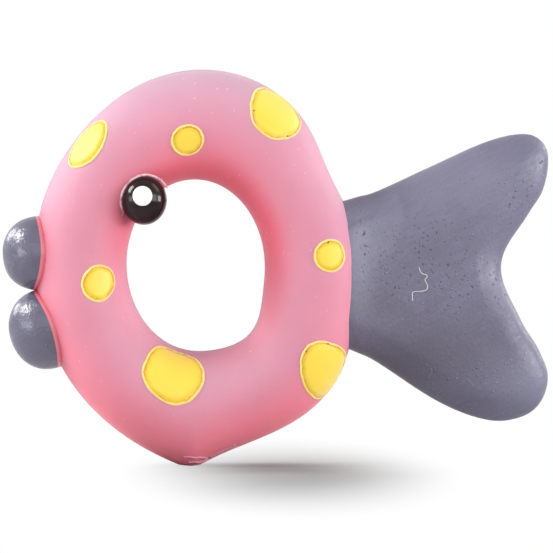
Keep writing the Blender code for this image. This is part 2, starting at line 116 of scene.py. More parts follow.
# Folds in the skin at the belly tip, as paths from the hole's centre
TIP_FOLDS = {
    "upper": (
        (-0.0034, -0.0561), (-0.0019, -0.0558), (-0.0004, -0.0564), (0.0013, -0.0561), (0.0031, -0.0566),
    ),
    "lower": (
        (-0.0022, -0.0577), (-0.0007, -0.0575), (0.0007, -0.0579), (0.0022, -0.0575), (0.0037, -0.0569),
    ),
    "edge": (
        (0.0042, -0.0564), (0.0058, -0.0554), (0.0075, -0.0545), (0.0095, -0.0535), (0.0114, -0.0525),
    ),
}
FOLD_RADIUS = 0.00040

# Seam ridges
SEAM_RADIUS = 0.0005
SEAM_SHOW = 0.00018

# Tail, measured from the ring's right edge at the height of the hole's centre
TAIL_LENGTH = 0.0570
TAIL_NECK = 0.0050
TAIL_SEAT = 0.0180
TAIL_ROOT_RISE = 0.0212
TAIL_ROOT_DROP = 0.0279
UPPER_LOBE_RISE = 0.0387
LOWER_LOBE_DROP = 0.0461
NOTCH_DEPTH = 0.0139
TAIL_ROOT_HALF = 0.0072
TAIL_TIP_HALF = 0.0074
TAIL_ROUND = 0.0105
NOTCH_ROUND = 0.0042
NOTCH_REACH = 0.0160
TAIL_CROWN = 0.24
TAIL_RIM = 0.0068
TAIL_FLARE = 0.0032
TAIL_FLARE_REACH = 0.0048
TAIL_UNEVEN = 0.03
TAIL_UNEVEN_SCALE = 70
TAIL_VOXEL = 0.0006
BRUSH_TURN = (0, math.radians(-30), 0)
BRUSH_SCALE = (1, 1, 0.15)
# Patches on its face: how far across and up from the hole's centre, half the width and height, and how
# strong they show. The painted shade patches darken its lower part, the painted highlight patches lighten
# the fillet at its root, the upper lobe and the lower lobe's edge, and the worn patch is paler partly as
# worn paint and partly as a painted highlight. The worn patch fades out over its edge, the others are soft
# all over.
PAINTED_SHADE_PATCHES = (
    (0.0680, -0.0270, 0.0200, 0.0120, 0.82),
    (0.0540, -0.0110, 0.0080, 0.0110, 0.40),
    (0.0830, -0.0395, 0.0150, 0.0035, 0.35),
)
PITTED_PATCHES = (
    (0.0690, 0.0060, 0.0120, 0.0160, 1.0),
    (0.0820, 0.0260, 0.0050, 0.0070, 1.0),
    (0.0495, 0.0080, 0.0035, 0.0080, 1.0),
)
WORN_AND_HIGHLIT_PATCH = (0.0520, 0.0150, 0.0095, 0.0130, 0.50)
WORN_EDGE = (0.8, 1.1)
PAINTED_HIGHLIGHT_PATCHES = (
    (0.0475, 0.0080, 0.0036, 0.0170, 0.60),
    (0.0760, 0.0260, 0.0220, 0.0120, 0.40),
    (0.0960, -0.0350, 0.0080, 0.0075, 0.60),
)

# Fine lines on the tail: a stray thread and casting flaws, as paths from the hole's centre
THREAD = (
    (0.0656, -0.0005), (0.0660, -0.0019), (0.0667, -0.0024), (0.0679, -0.0026),
    (0.0680, -0.0034), (0.0671, -0.0041), (0.0682, -0.0057), (0.0680, -0.0070),
    (0.0666, -0.0075), (0.0639, -0.0075), (0.0635, -0.0082), (0.0637, -0.0103),
)
THREAD_RADIUS = 0.00011
FLAWS = {
    "root": (
        (0.0692, -0.0302), (0.0696, -0.0311), (0.0690, -0.0319), (0.0685, -0.0327), (0.0687, -0.0334),
    ),
    "middle": (
        (0.0797, -0.0338), (0.0806, -0.0341), (0.0812, -0.0347), (0.0816, -0.0354), (0.0813, -0.0357),
    ),
    "lower": (
        (0.0797, -0.0405), (0.0805, -0.0412), (0.0815, -0.0409), (0.0822, -0.0411), (0.0826, -0.0404),
    ),
}
FLAW_RADIUS = 0.00014

# Lips: the place from the hole's centre, where they face, how far they stand out, and half their height
UPPER_LIP = (Vector((-0.0459, 0, 0.0035)), math.radians(180), 0.0110, 0.0110)
LOWER_LIP = (Vector((-0.0435, 0, -0.0186)), math.radians(195), 0.0114, 0.0120)
LIP_HALF_DEPTH = 0.0098
LIP_SQUARE = 2.15
LIP_COLLAR = 0.0012
LIP_PAINT_EDGE = 0.0001
LIP_UNEVEN = 0.02
LIP_UNEVEN_SCALE = 130

# Eye beads
EYE_ANGLE = math.radians(128.5)
EYE_FROM_HOLE = 0.0012
EYE_RADIUS = 0.0069
EYE_HALF_DEPTH = 0.0064
EYE_CENTRE_DEPTH = 0.0110
EYE_NARROW = 0.97
EYE_TALL = 1.06
EYE_LIFT = 0.0004
EYE_BUTTON = 2.4
LEDGE_RADIUS = 0.00045
LEDGE_GAP = 0.0002
LEDGE_START = math.radians(25)
LEDGE_END = math.radians(215)
LEDGE_TAPER = 4
LEDGE_THINNEST = 0.04
LEDGE_SEARCH = 1.1 * EYE_RADIUS
LEDGE_SEARCH_STEP = EYE_RADIUS / 100
DOT_RADIUS = 0.0029
DOT_RISE = 0.0018
DOT_ASIDE = 0.0005
DOT_THICKNESS = 0.0005
DOT_STAND = 0.0008
# Steps in and up over the dot's rounded edge
DOT_STEPS = (
    (0.00005, 0.00015),
    (0.00005, 0.00005),
    (0.00020, 0.00001),
    (0.00060, 0.0),
    (0.00060, 0.0),
    (0.00060, 0.0),
)

# Spots: angle round the ring, turn round its section, length along it, width round it, and how far the
# edge runs out at each eighth of a turn, from its far end counter-clockwise and then towards the hole
SPOTS = {
    "brow": (131.7, 38.5, 0.0166, 0.0122, (1.00, 0.98, 1.00, 1.00, 1.02, 0.98, 1.00, 0.96)),
    "crown": (94.0, 105.0, 0.0098, 0.0098, (1.00, 1.00, 0.99, 1.00, 1.01, 1.00, 0.99, 1.00)),
    "shoulder": (61.8, 42.5, 0.0172, 0.0192, (1.06, 1.12, 0.97, 0.90, 0.95, 1.03, 1.00, 1.08)),
    "cheek": (189.2, 113.0, 0.0108, 0.0114, (1.02, 0.98, 0.99, 1.04, 1.00, 0.94, 0.99, 1.00)),
    "flank": (4.8, 68.0, 0.0098, 0.0093, (1.00, 1.00, 0.98, 1.01, 1.01, 1.00, 0.99, 1.02)),
    "belly": (-102.3, 127.0, 0.0186, 0.0192, (1.00, 1.04, 0.94, 1.03, 0.98, 1.11, 1.08, 0.95)),
    "vent": (-39.0, 44.0, 0.0170, 0.0200, (1.02, 1.08, 1.06, 1.03, 0.99, 1.03, 1.00, 1.05)),
}
SPOT_SINK = 0.0008
# Ripples along a spot's edge: how far, how many, and how far on each next spot starts
SPOT_RIPPLES = ((0.006, 11, 2.3), (0.005, 17, 1.1))
# Steps in and up over a spot's rim and the fine groove inside it
SPOT_RIM_STEPS = (
    (0.00012, 0.00024),
    (0.00020, 0.00012),
    (0.00022, -0.00002),
    (0.00016, -0.00018),
    (0.00016, -0.00008),
    (0.00020, 0.00004),
)
# Steps over its pad: a share of the half width that is left, and how far up
SPOT_PAD_STEPS = ((0.10, 0.00018), (0.14, 0.00012), (0.25, 0.00004), (0.25, 0.0))

# Open pinholes in the spots, from the hole's centre; the dark inside them is painted shade
PINHOLES = ((0.0170, 0.0458), (0.0268, 0.0383), (0.0386, 0.0072), (0.0386, -0.0226), (0.0322, -0.0248))
PINHOLE_RADIUS = 0.00042

# How deep the deepest pits in the latex are, as a share of the highest bubbles, and how much the tail's
# colour is brightened on bubbles as a painted highlight and darkened in pits as painted shade
DEEPEST_PIT = -0.5
SPECKLE_PAINTED_LIGHT = 0.9

# Facets
RING_SEGMENTS = 224
SECTION_SEGMENTS = 72
SEAM_SIDES = 10
BALL_SEGMENTS = 72
BALL_RINGS = 40
LEDGE_SEGMENTS = 160
LEDGE_SIDES = 12
SPOT_SIDES = 64
TAIL_STEPS = 12
TAIL_SIDES = 200
TAIL_RINGS = 9
TAIL_GRID_TURN = 12
MERGE_DISTANCE = 0.000001

# Colours
# Pink is redder underneath as painted shade and paler on top as painted light; the side lies between
PINK_PAINTED_UNDERSIDE_SHADE = (0.93, 0.178, 0.236)
PINK_SIDE = (0.672, 0.258, 0.353)
PINK_PAINTED_TOP_LIGHT = (0.540, 0.333, 0.432)
# Painted shade towards the hole
HOLE_PAINTED_SHADE = (0.70, 0.085, 0.138)
# Painted shade in creases round the lips and eyes
CREASE_PAINTED_SHADE = (0.56, 0.085, 0.120)
# Pale pink painted highlight, on small bubbles and on the eye ledge
PINK_PAINTED_HIGHLIGHT = (0.90, 0.66, 0.70)
GREY_DEEP = (0.136, 0.129, 0.193)
GREY_LIGHT = (0.170, 0.160, 0.236)
# Painted shade for the tail's lower part
GREY_SHADE = (0.092, 0.084, 0.118)
# Paler grey for the tail, partly worn paint and partly a painted highlight
GREY_WORN_AND_HIGHLIT = (0.225, 0.218, 0.300)
LIP_DEEP = (0.088, 0.083, 0.130)
LIP_LIGHT = (0.112, 0.106, 0.162)
COLLAR_PINK = (0.70, 0.180, 0.235)
YELLOW_RIM = (0.97, 0.68, 0.22)
# Deeper amber in the groove, darkened further as painted shade
YELLOW_GROOVE_SHADE = (0.66, 0.33, 0.015)
YELLOW_AMBER = (0.90, 0.52, 0.022)
YELLOW_PAD = (0.97, 0.65, 0.060)
# Painted shade in the open pinholes
PINHOLE_SHADE = (0.05, 0.02, 0.004)
# How far from its rim a spot has its last shade, how far the shades stray, and where each shade lies
SPOT_SHADES = 0.0030
GROOVE_STRAY = 0.00035
# The groove and the amber just inside it are darker partly as painted shade on the groove's walls
GROOVED_SHADES = (
    (0.0, YELLOW_RIM),
    (0.18, YELLOW_RIM),
    (0.24, YELLOW_GROOVE_SHADE),
    (0.30, YELLOW_GROOVE_SHADE),
    (0.38, YELLOW_AMBER),
    (0.75, YELLOW_PAD),
)
PLAIN_SHADES = ((0.18, YELLOW_RIM), (0.26, YELLOW_AMBER), (0.60, YELLOW_PAD))
BLACK_DEEP = (0.006, 0.003, 0.003)
BLACK_BROWN = (0.022, 0.008, 0.009)
WHITE_WARM = (0.88, 0.86, 0.84)
WHITE_CLEAN = (0.93, 0.92, 0.91)
THREAD_DEEP = (0.60, 0.58, 0.58)
THREAD_LIGHT = (0.78, 0.77, 0.76)
IVORY_DEEP = (0.74, 0.69, 0.57)
IVORY_LIGHT = (0.80, 0.76, 0.66)
FILM_DEEP = (0.50, 0.55, 0.57)
FILM_LIGHT = (0.58, 0.63, 0.65)

# How strongly bubbles, pits and plain yellow show over a material's blotches, as stops of grey
BUBBLE_CLUSTERS = ((0.48, (0, 0, 0)), (0.60, (0.7, 0.7, 0.7)))
PIT_CLUSTERS = ((0.47, (0.1, 0.1, 0.1)), (0.62, (0.9, 0.9, 0.9)))
PLAIN_CLUSTERS = ((0.44, (0, 0, 0)), (0.64, (1, 1, 1)))

# Materials in two tones that blotch into each other: scales of the blotches and the grain, the tones and
# where they lie, roughness, specular level, and what makes bumps, how strong and how deep
TWO_TONES = {
    # The eye ledge's pale pink is a painted highlight along it
    "pale_latex_painted_highlight": (
        (700, 2500), (0.35, PINK_SIDE), (0.55, PINK_PAINTED_HIGHLIGHT), 0.35, 0.5, ("Blotch", 0.5, 0.0003)
    ),
    "black_gloss_bead": (
        (260, 1500), (0.3, BLACK_DEEP), (0.7, BLACK_BROWN), 0.15, 0.28, ("Blotch", 0.25, 0.0004)
    ),
    "white_dot_paint": (
        (400, 2000), (0.3, WHITE_WARM), (0.7, WHITE_CLEAN), 0.4, 0.5, ("Grain", 0.15, 0.0002)
    ),
    "ivory_squeaker_plastic": (
        (300, 3000), (0.3, IVORY_DEEP), (0.7, IVORY_LIGHT), 0.38, 0.5, ("Grain", 0.15, 0.0001)
    ),
    "pale_stray_thread": ((900, 4000), (0.3, THREAD_DEEP), (0.7, THREAD_LIGHT), 0.5, 0.5, None),
    "reed_plastic_film": ((500, 3000), (0.3, FILM_DEEP), (0.7, FILM_LIGHT), 0.2, 0.5, None),
}

# Camera and lights
SENSOR = 36.0
VIEW_WIDTH = 0.16296
CAMERA_DISTANCE = 2.5
CAMERA_REACH = 100
CAMERA_RISE = math.radians(2.5)
CAMERA_TURN = math.radians(-1.2)
AIM = Vector((0.0001, 0, 0.0556))
WORLD_LIGHT = 0.30
FLOOR_SIZE = 6
FLOOR_WHITE = (0.20, 0.20, 0.20)
FLOOR_FILL = 0.085
FLOOR_BOUNCE = (0.33, 0.33, 0.33)
FLOOR_SHADE = Vector((0.003, -0.045, 0))
FLOOR_DEEP = 3.6
FLOOR_NEAR = 0.004
FLOOR_FAR = 0.052
SOFTBOXES = (
    ("left_softbox", (-0.92, -0.12, 0.70), 0.4, 10.6),
    ("right_softbox", (0.80, -0.10, 0.80), 0.6, 2.8),
    ("left_rear_softbox", (-0.95, 0.60, 0.55), 0.4, 4.6),
    ("right_rear_softbox", (0.95, 0.60, 0.50), 0.4, 3.0),
    ("front_softbox", (0.0, -1.70, 0.25), 1.4, 5.2),
    ("front_right_softbox", (1.00, -1.30, 0.20), 0.8, 11.0),
    ("right_low_softbox", (1.20, -0.40, 0.08), 0.5, 11.5),
    ("left_low_softbox", (-1.00, -0.60, 0.06), 0.5, 4.0),
)
FLOOR_LAMP = ("floor_lamp", (-0.45, 0.30, 0.80), 3.2, 62.0)
FLOOR_LAMP_ACROSS = 0.35

# The hole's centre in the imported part
RING_CENTRE = Vector((-0.023731, 0, 0.059007))


# Shapes of the ring
def angle_between(angle, other):
    """The turn from one angle to another, between minus and plus half a circle."""
    return (angle - other + math.pi) % math.tau - math.pi


def bump(angle, centre, spread):
    """A smooth rise of 1 at the centre angle."""
    return math.exp(-((angle_between(angle, centre) / spread) ** 2))


def ellipse_radius(angle, half_width, half_height):
    return 1 / math.hypot(math.cos(angle) / half_width, math.sin(angle) / half_height)


def hole_radius(angle):
    corner = HOLE_CORNER * bump(angle, HOLE_CORNER_ANGLE, HOLE_CORNER_SPREAD)
    return ellipse_radius(angle - HOLE_TILT, HOLE_WIDTH / 2, HOLE_HEIGHT / 2) + corner


def outer_radius(angle):
    """The ring's outline: an egg that leans towards the tail, with a full vent and nape, a flat shoulder
    and a drawn-out belly tip."""
    if math.sin(angle) > 0:
        egg = ellipse_radius(angle + CROWN_LEAN, RING_WIDTH / 2, CROWN_RISE)
    else:
        egg = ellipse_radius(angle, RING_WIDTH / 2, BELLY_DROP)
    vent = VENT_BULGE * bump(angle, VENT_ANGLE, VENT_SPREAD)
    nape = NAPE_BULGE * bump(angle, NAPE_ANGLE, NAPE_SPREAD)
    shoulder = SHOULDER_DIP * bump(angle, SHOULDER_ANGLE, SHOULDER_SPREAD)
    from_tip = angle_between(angle, TIP_ANGLE)
    spread = TIP_VENT_SPREAD if from_tip > 0 else TIP_THROAT_SPREAD
    tip = TIP_LENGTH * math.exp((TIP_BLUNT - math.hypot(from_tip, TIP_BLUNT)) / spread)
    return egg + vent + nape - shoulder + tip


def ring_point(angle, turn, lift=0.0):
    """A point on the front half of the ring. The turn goes round the section, from 0 on the outside edge
    over the front to half a circle on the hole's edge. The section is squarer where the tail joins it."""
    inner = hole_radius(angle)
    outer = outer_radius(angle)
    power = 2.0
    if math.cos(turn) > 0:
        power += FLANK_SQUARE * bump(angle, 0, FLANK_SPREAD)
    reach = (abs(math.cos(turn)) ** power + abs(math.sin(turn)) ** power) ** (-1 / power)
    radius = (outer + inner) / 2 + ((outer - inner) / 2 + lift) * reach * math.cos(turn)
    depth = (RING_DEPTH / 2 + lift) * reach * abs(math.sin(turn))
    return RING_CENTRE + Vector((radius * math.cos(angle), -depth, radius * math.sin(angle)))


def ring_normal(angle, turn):
    step = 0.001
    along = ring_point(angle + step, turn) - ring_point(angle - step, turn)
    around = ring_point(angle, turn + step) - ring_point(angle, turn - step)
    return along.cross(around).normalized()


def ring_section(place):
    """Where a place lies across the ring's tube, from -1 at the hole to 1 outside, and half its width."""
    offset = place - RING_CENTRE
    angle = math.atan2(offset.z, offset.x)
    inner = hole_radius(angle)
    outer = outer_radius(angle)
    half = (outer - inner) / 2
    return (math.hypot(offset.x, offset.z) - (outer + inner) / 2) / half, half


def ring_height(place):
    """How far a place lies outside the ring's skin, to a fair nearness."""
    across, half = ring_section(place)
    forward = place.y / (RING_DEPTH / 2)
    return (math.hypot(across, forward) - 1) * (half + RING_DEPTH / 2) / 2


def ring_face(place):
    """The Y of the ring's front skin in front of a place on the mid-plane."""
    across = ring_section(place)[0]
    return -RING_DEPTH / 2 * math.sqrt(max(1 - across ** 2, 0))


def gathered_angle(offset):
    """The angle round the ring for a point of a plain torus: the points crowd at the belly tip."""
    station = math.atan2(offset.z, offset.x) - TIP_ANGLE
    return TIP_ANGLE + station - TIP_GATHER * math.sin(station)


def smooth_step(value, low_end, high_end):
    share = min(max((value - low_end) / (high_end - low_end), 0), 1)
    return share * share * (3 - 2 * share)


# Modelling helpers
def make_active(piece):
    bpy.ops.object.select_all(action="DESELECT")
    piece.select_set(True)
    bpy.context.view_layer.objects.active = piece


def begin_edit(piece):
    make_active(piece)
    bpy.ops.object.mode_set(mode="EDIT")
    bpy.ops.mesh.select_all(action="SELECT")


def end_edit():
    bpy.ops.object.mode_set(mode="OBJECT")


def select_points(piece, test):
    """Selects the points of a piece in edit mode that pass a test of their place."""
    bpy.ops.mesh.select_mode(type="VERT")
    bpy.ops.mesh.select_all(action="DESELECT")
    end_edit()
    for point in piece.data.vertices:
        point.select = test(point.co)
    bpy.ops.object.mode_set(mode="EDIT")


def new_piece(name):
    """Names the primitive that was just added and puts its place into its mesh."""
    piece = bpy.context.object
    piece.name = name
    piece.data.name = name
    bpy.ops.object.transform_apply(location=True, rotation=True, scale=True)
    return piece


def finish_normals(piece):
    begin_edit(piece)
    bpy.ops.mesh.remove_doubles(threshold=MERGE_DISTANCE)
    bpy.ops.mesh.normals_make_consistent(inside=False)
    end_edit()


def apply_modifier(piece, kind, **settings):
    make_active(piece)
    modifier = piece.modifiers.new(kind.lower(), kind)
    for setting, value in settings.items():
        setattr(modifier, setting, value)
    bpy.ops.object.modifier_apply(modifier=modifier.name)


def smooth(piece):
    make_active(piece)
    bpy.ops.object.shade_smooth()


def add_torus(name, centre, segments, sides, radius, section_radius):
    """A torus round an axis along the toy's depth."""
    bpy.ops.mesh.primitive_torus_add(
        location=centre,
        rotation=(math.pi / 2, 0, 0),
        major_segments=segments,
        minor_segments=sides,
        major_radius=radius,
        minor_radius=section_radius,
        generate_uvs=False,
    )
    return new_piece(name)


def mirror_to_back(piece, name):
    """A copy of a front piece on the back, with its own mesh."""
    copy = piece.copy()
    copy.data = piece.data.copy()
    copy.name = name
    copy.data.name = name
    bpy.context.scene.collection.objects.link(copy)
    copy.data.transform(Matrix.Diagonal((1, -1, 1, 1)))
    copy.data.flip_normals()
    return copy


def store_values(piece, name, values):
    """Keeps a value for each point of a piece, for its material."""
    attribute = piece.data.attributes.new(name, "FLOAT", "POINT")
    attribute.data.foreach_set("value", values)


# The ring's two skins
def crease_shade_share(place):
    """How much painted shade darkens a place on the skin in the creases round the lips and the eye beads.
    """
    offset = Vector((place.x, -abs(place.y), place.z)) - eye_centre()
    gaps = [offset.length - EYE_RADIUS]
    for middle, facing, reach, half_height in (UPPER_LIP, LOWER_LIP):
        ray = Vector((math.cos(facing), 0, math.sin(facing)))
        offset = place - RING_CENTRE - middle
        out = offset.dot(ray) / reach
        side = (offset.z * ray.x - offset.x * ray.z) / half_height
        from_middle = Vector((out, offset.y / LIP_HALF_DEPTH, side)).length
        gaps.append((from_middle - 1) * (reach + half_height) / 2)
    return CREASE_SHADE_DEPTH * math.exp(-max(min(gaps), 0) / CREASE_REACH)


def faces_hole(angle, turn):
    """How squarely the skin faces the hole."""
    normal = ring_normal(angle, turn)
    inwards = -normal.x * math.cos(angle) - normal.z * math.sin(angle)
    return smooth_step(inwards, HOLE_SHADE_START, 1)


def hole_shade_share(angle, turn):
    """How much painted shade makes the skin redder towards the hole: most on the hole's top, which faces
    down, hardly on its bottom.
    """
    level = HOLE_SHADE_LEVEL + HOLE_SHADE_SWING * math.cos(angle - HOLE_SHADE_ANGLE)
    return faces_hole(angle, turn) * min(max(level, 0), 1)


def painted_light_from_above(angle, turn):
    """How far the skin faces up: painted light makes it paler on top and painted shade makes it redder
    underneath. The painted light is weaker inside the hole, where the skin stays pink.
    """
    upwards = ring_normal(angle, turn).z
    if upwards > 0:
        upwards *= 1 - HOLE_WEAKER_TOP_LIGHT * faces_hole(angle, turn)
    return upwards


def model_skin(name, way):
    """The outside of one half of the ring: half a torus drawn onto the ring's outline."""
    skin = add_torus(name, RING_CENTRE, RING_SEGMENTS, SECTION_SEGMENTS, RING_WIDTH / 2, RING_DEPTH / 2)
    begin_edit(skin)
    select_points(skin, lambda place: place.y * way < -MERGE_DISTANCE)
    bpy.ops.mesh.delete(type="VERT")
    end_edit()
    facing = []
    hole_shades = []
    for point in skin.data.vertices:
        offset = point.co - RING_CENTRE
        angle = gathered_angle(offset)
        turn = math.atan2(abs(offset.y), math.hypot(offset.x, offset.z) - RING_WIDTH / 2)
        place = ring_point(angle, turn)
        uneven = SKIN_UNEVEN * noise.noise(place * SKIN_UNEVEN_SCALE) * math.sin(turn)
        place += ring_normal(angle, turn) * uneven
        point.co = Vector((place.x, -way * place.y, max(place.z, 0)))
        facing.append(painted_light_from_above(angle, turn))
        hole_shades.append(hole_shade_share(angle, turn))
    # Painted light makes the skin paler on top, painted shade makes it redder underneath
    store_values(skin, "painted_light_from_above", facing)
    # Painted shade makes the skin redder towards the hole
    store_values(skin, "painted_hole_shade", hole_shades)
    # Painted shade in the creases round the lips and eyes
    store_values(skin, "painted_crease_shade", [crease_shade_share(point.co) for point in skin.data.vertices])
    return skin


def squeaker_axis():
    """Where the squeaker's axis runs through the mid-plane."""
    low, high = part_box("squeaker_plug")
    return Vector(((low.x + high.x) / 2, 0, (low.z + high.z) / 2))


def raise_seat(skin):
    """Draws the back skin out to a round flat seat for the squeaker's flange."""
    axis = squeaker_axis()
    for point in skin.data.vertices:
        from_axis = (point.co - axis).xz.length
        seat = 1 - smooth_step(from_axis, SEAT_RADIUS, SEAT_FOOT)
        if point.co.y > 0:
            point.co.y += (SEAT_TOP - point.co.y) * seat


def bore(skin, radius, start):
    """Cuts a round hole into the back skin along the squeaker's axis, from a level outwards."""
    bpy.ops.mesh.primitive_cylinder_add(
        vertices=BORE_SIDES,
        radius=radius,
        depth=RING_DEPTH,
        location=squeaker_axis() + Vector((0, start + RING_DEPTH / 2, 0)),
        rotation=(math.pi / 2, 0, 0),
    )
    cutter = new_piece("squeaker_cutter")
    apply_modifier(skin, "BOOLEAN", operation="DIFFERENCE", object=cutter, solver="MANIFOLD")
    bpy.data.objects.remove(cutter)


# The seam ridges on the mid-plane
def model_seam(name, outline_radius, outwards):
    """A fine ridge along an outline on the mid-plane."""
    seam = add_torus(name, RING_CENTRE, RING_SEGMENTS, SEAM_SIDES, RING_WIDTH / 2, SEAM_RADIUS)
    facing = []
    for point in seam.data.vertices:
        offset = point.co - RING_CENTRE
        angle = gathered_angle(offset)
        from_middle = math.hypot(offset.x, offset.z) - RING_WIDTH / 2
        radius = outline_radius(angle) + outwards * (SEAM_SHOW - SEAM_RADIUS) + from_middle
        place = RING_CENTRE + Vector((radius * math.cos(angle), offset.y, radius * math.sin(angle)))
        point.co = Vector((place.x, place.y, max(place.z, 0)))
        facing.append(outwards * math.sin(angle))
    # Painted light and shade on the seam, as on the skin
    store_values(seam, "painted_light_from_above", facing)
    smooth(seam)
    return seam


# The tail
def smooth_outline(corners, steps):
    """Points on a closed smooth curve through the corners."""
    points = []
    count = len(corners)
    for index in range(count):
        before, here, after, beyond = [corners[(index + offset) % count] for offset in (-1, 0, 1, 2)]
        handle = (after - here).length / 3
        leave = here + (after - before).normalized() * handle
        arrive = after - (beyond - here).normalized() * handle
        points += geometry.interpolate_bezier(here, leave, arrive, after, steps + 1)[:-1]
    return points


def tail_outline():
    edge = RING_WIDTH / 2
    neck = edge + TAIL_NECK
    span = TAIL_LENGTH - TAIL_NECK
    notch = edge + TAIL_LENGTH - NOTCH_DEPTH
    swell = UPPER_LOBE_RISE - TAIL_ROOT_RISE
    droop = LOWER_LOBE_DROP - TAIL_ROOT_DROP
    upper = [
        (edge - 0.7 * TAIL_SEAT, 0.7 * TAIL_ROOT_RISE),
        (edge, 0.94 * TAIL_ROOT_RISE),
        (neck, TAIL_ROOT_RISE),
        (neck + 0.34 * span, TAIL_ROOT_RISE + 0.46 * swell),
        (neck + 0.66 * span, TAIL_ROOT_RISE + 0.88 * swell),
        (neck + 0.865 * span, UPPER_LOBE_RISE),
        (neck + 0.96 * span, 0.947 * UPPER_LOBE_RISE),
        (neck + span, 0.82 * UPPER_LOBE_RISE),
        (neck + 0.97 * span, 0.57 * UPPER_LOBE_RISE),
        (notch + 0.60 * NOTCH_DEPTH, 0.40 * UPPER_LOBE_RISE),
    ]
    lower = [
        (notch + 0.43 * NOTCH_DEPTH, -0.36 * LOWER_LOBE_DROP),
        (neck + 0.945 * span, -0.54 * LOWER_LOBE_DROP),
        (neck + span, -0.73 * LOWER_LOBE_DROP),
        (neck + 0.93 * span, -0.92 * LOWER_LOBE_DROP),
        (neck + 0.76 * span, -LOWER_LOBE_DROP),
        (neck + 0.58 * span, -0.975 * LOWER_LOBE_DROP),
        (neck + 0.35 * span, -TAIL_ROOT_DROP - 0.65 * droop),
        (neck, -TAIL_ROOT_DROP),
        (edge, -0.92 * TAIL_ROOT_DROP),
        (edge - 0.7 * TAIL_SEAT, -0.7 * TAIL_ROOT_DROP),
        (edge - TAIL_SEAT, 0),
    ]
    corners = [Vector(point) for point in upper + [(notch, 0)] + lower]
    return smooth_outline(corners, TAIL_STEPS)


def outline_distance(place, outline):
    """How far a place in the plane lies from an outline."""
    nearest = math.inf
    for start, end in zip(outline[-1:] + outline, outline):
        share = geometry.intersect_point_line(place, start, end)[1]
        foot = start.lerp(end, min(max(share, 0), 1))
        nearest = min(nearest, (place - foot).length)
    return nearest


def evenly_spaced(points, count):
    """The same closed line with evenly spaced points."""
    closed = points + points[:1]
    lengths = [0.0]
    for here, after in zip(closed, closed[1:]):
        lengths.append(lengths[-1] + (after - here).length)
    spaced = []
    piece = 0
    for index in range(count):
        reach = lengths[-1] * index / count
        while lengths[piece + 1] < reach:
            piece += 1
        share = (reach - lengths[piece]) / (lengths[piece + 1] - lengths[piece])
        spaced.append(closed[piece].lerp(closed[piece + 1], share))
    return spaced


def tail_depth(place, outline):
    """Half the tail's depth at a place in its plane: a pillow that flares out to meet the ring."""
    notch = Vector((RING_WIDTH / 2 + TAIL_LENGTH - NOTCH_DEPTH / 2, -NOTCH_DEPTH))
    near_notch = math.exp(-((place - notch).length / NOTCH_REACH) ** 2)
    rounding = TAIL_ROUND + (NOTCH_ROUND - TAIL_ROUND) * near_notch
    from_edge = min(outline_distance(place, outline), rounding) / rounding
    along = (place.x - RING_WIDTH / 2) / TAIL_LENGTH
    depth = TAIL_ROOT_HALF + (TAIL_TIP_HALF - TAIL_ROOT_HALF) * along
    rise = UPPER_LOBE_RISE if place.y > 0 else LOWER_LOBE_DROP
    depth *= 1 - TAIL_CROWN * (place.y / rise) ** 2
    face = RING_CENTRE + Vector((place.x, -depth, place.y))
    flare = TAIL_FLARE * math.exp(-max(ring_height(face), 0) / TAIL_FLARE_REACH)
    return (depth + flare) * math.sqrt(1 - (1 - from_edge) ** 2)


def patch_reach(place, patch):
    """How far out a place lies in a patch, 1 at its edge."""
    across, up, half_width, half_height = patch[:4]
    return math.hypot((place.x - across) / half_width, (place.y - up) / half_height)


def patch_share(place, patches):
    """How deep a place in the tail's plane lies in soft patches."""
    return max(patch[4] * math.exp(-patch_reach(place, patch) ** 2) for patch in patches)


def wear_and_highlight(place):
    """How much paler a place in the tail's plane is, partly as worn paint and partly as a painted
    highlight.
    """
    patch = WORN_AND_HIGHLIT_PATCH[4] * (1 - smooth_step(patch_reach(place, WORN_AND_HIGHLIT_PATCH), *WORN_EDGE))
    return max(patch, patch_share(place, PAINTED_HIGHLIGHT_PATCHES))


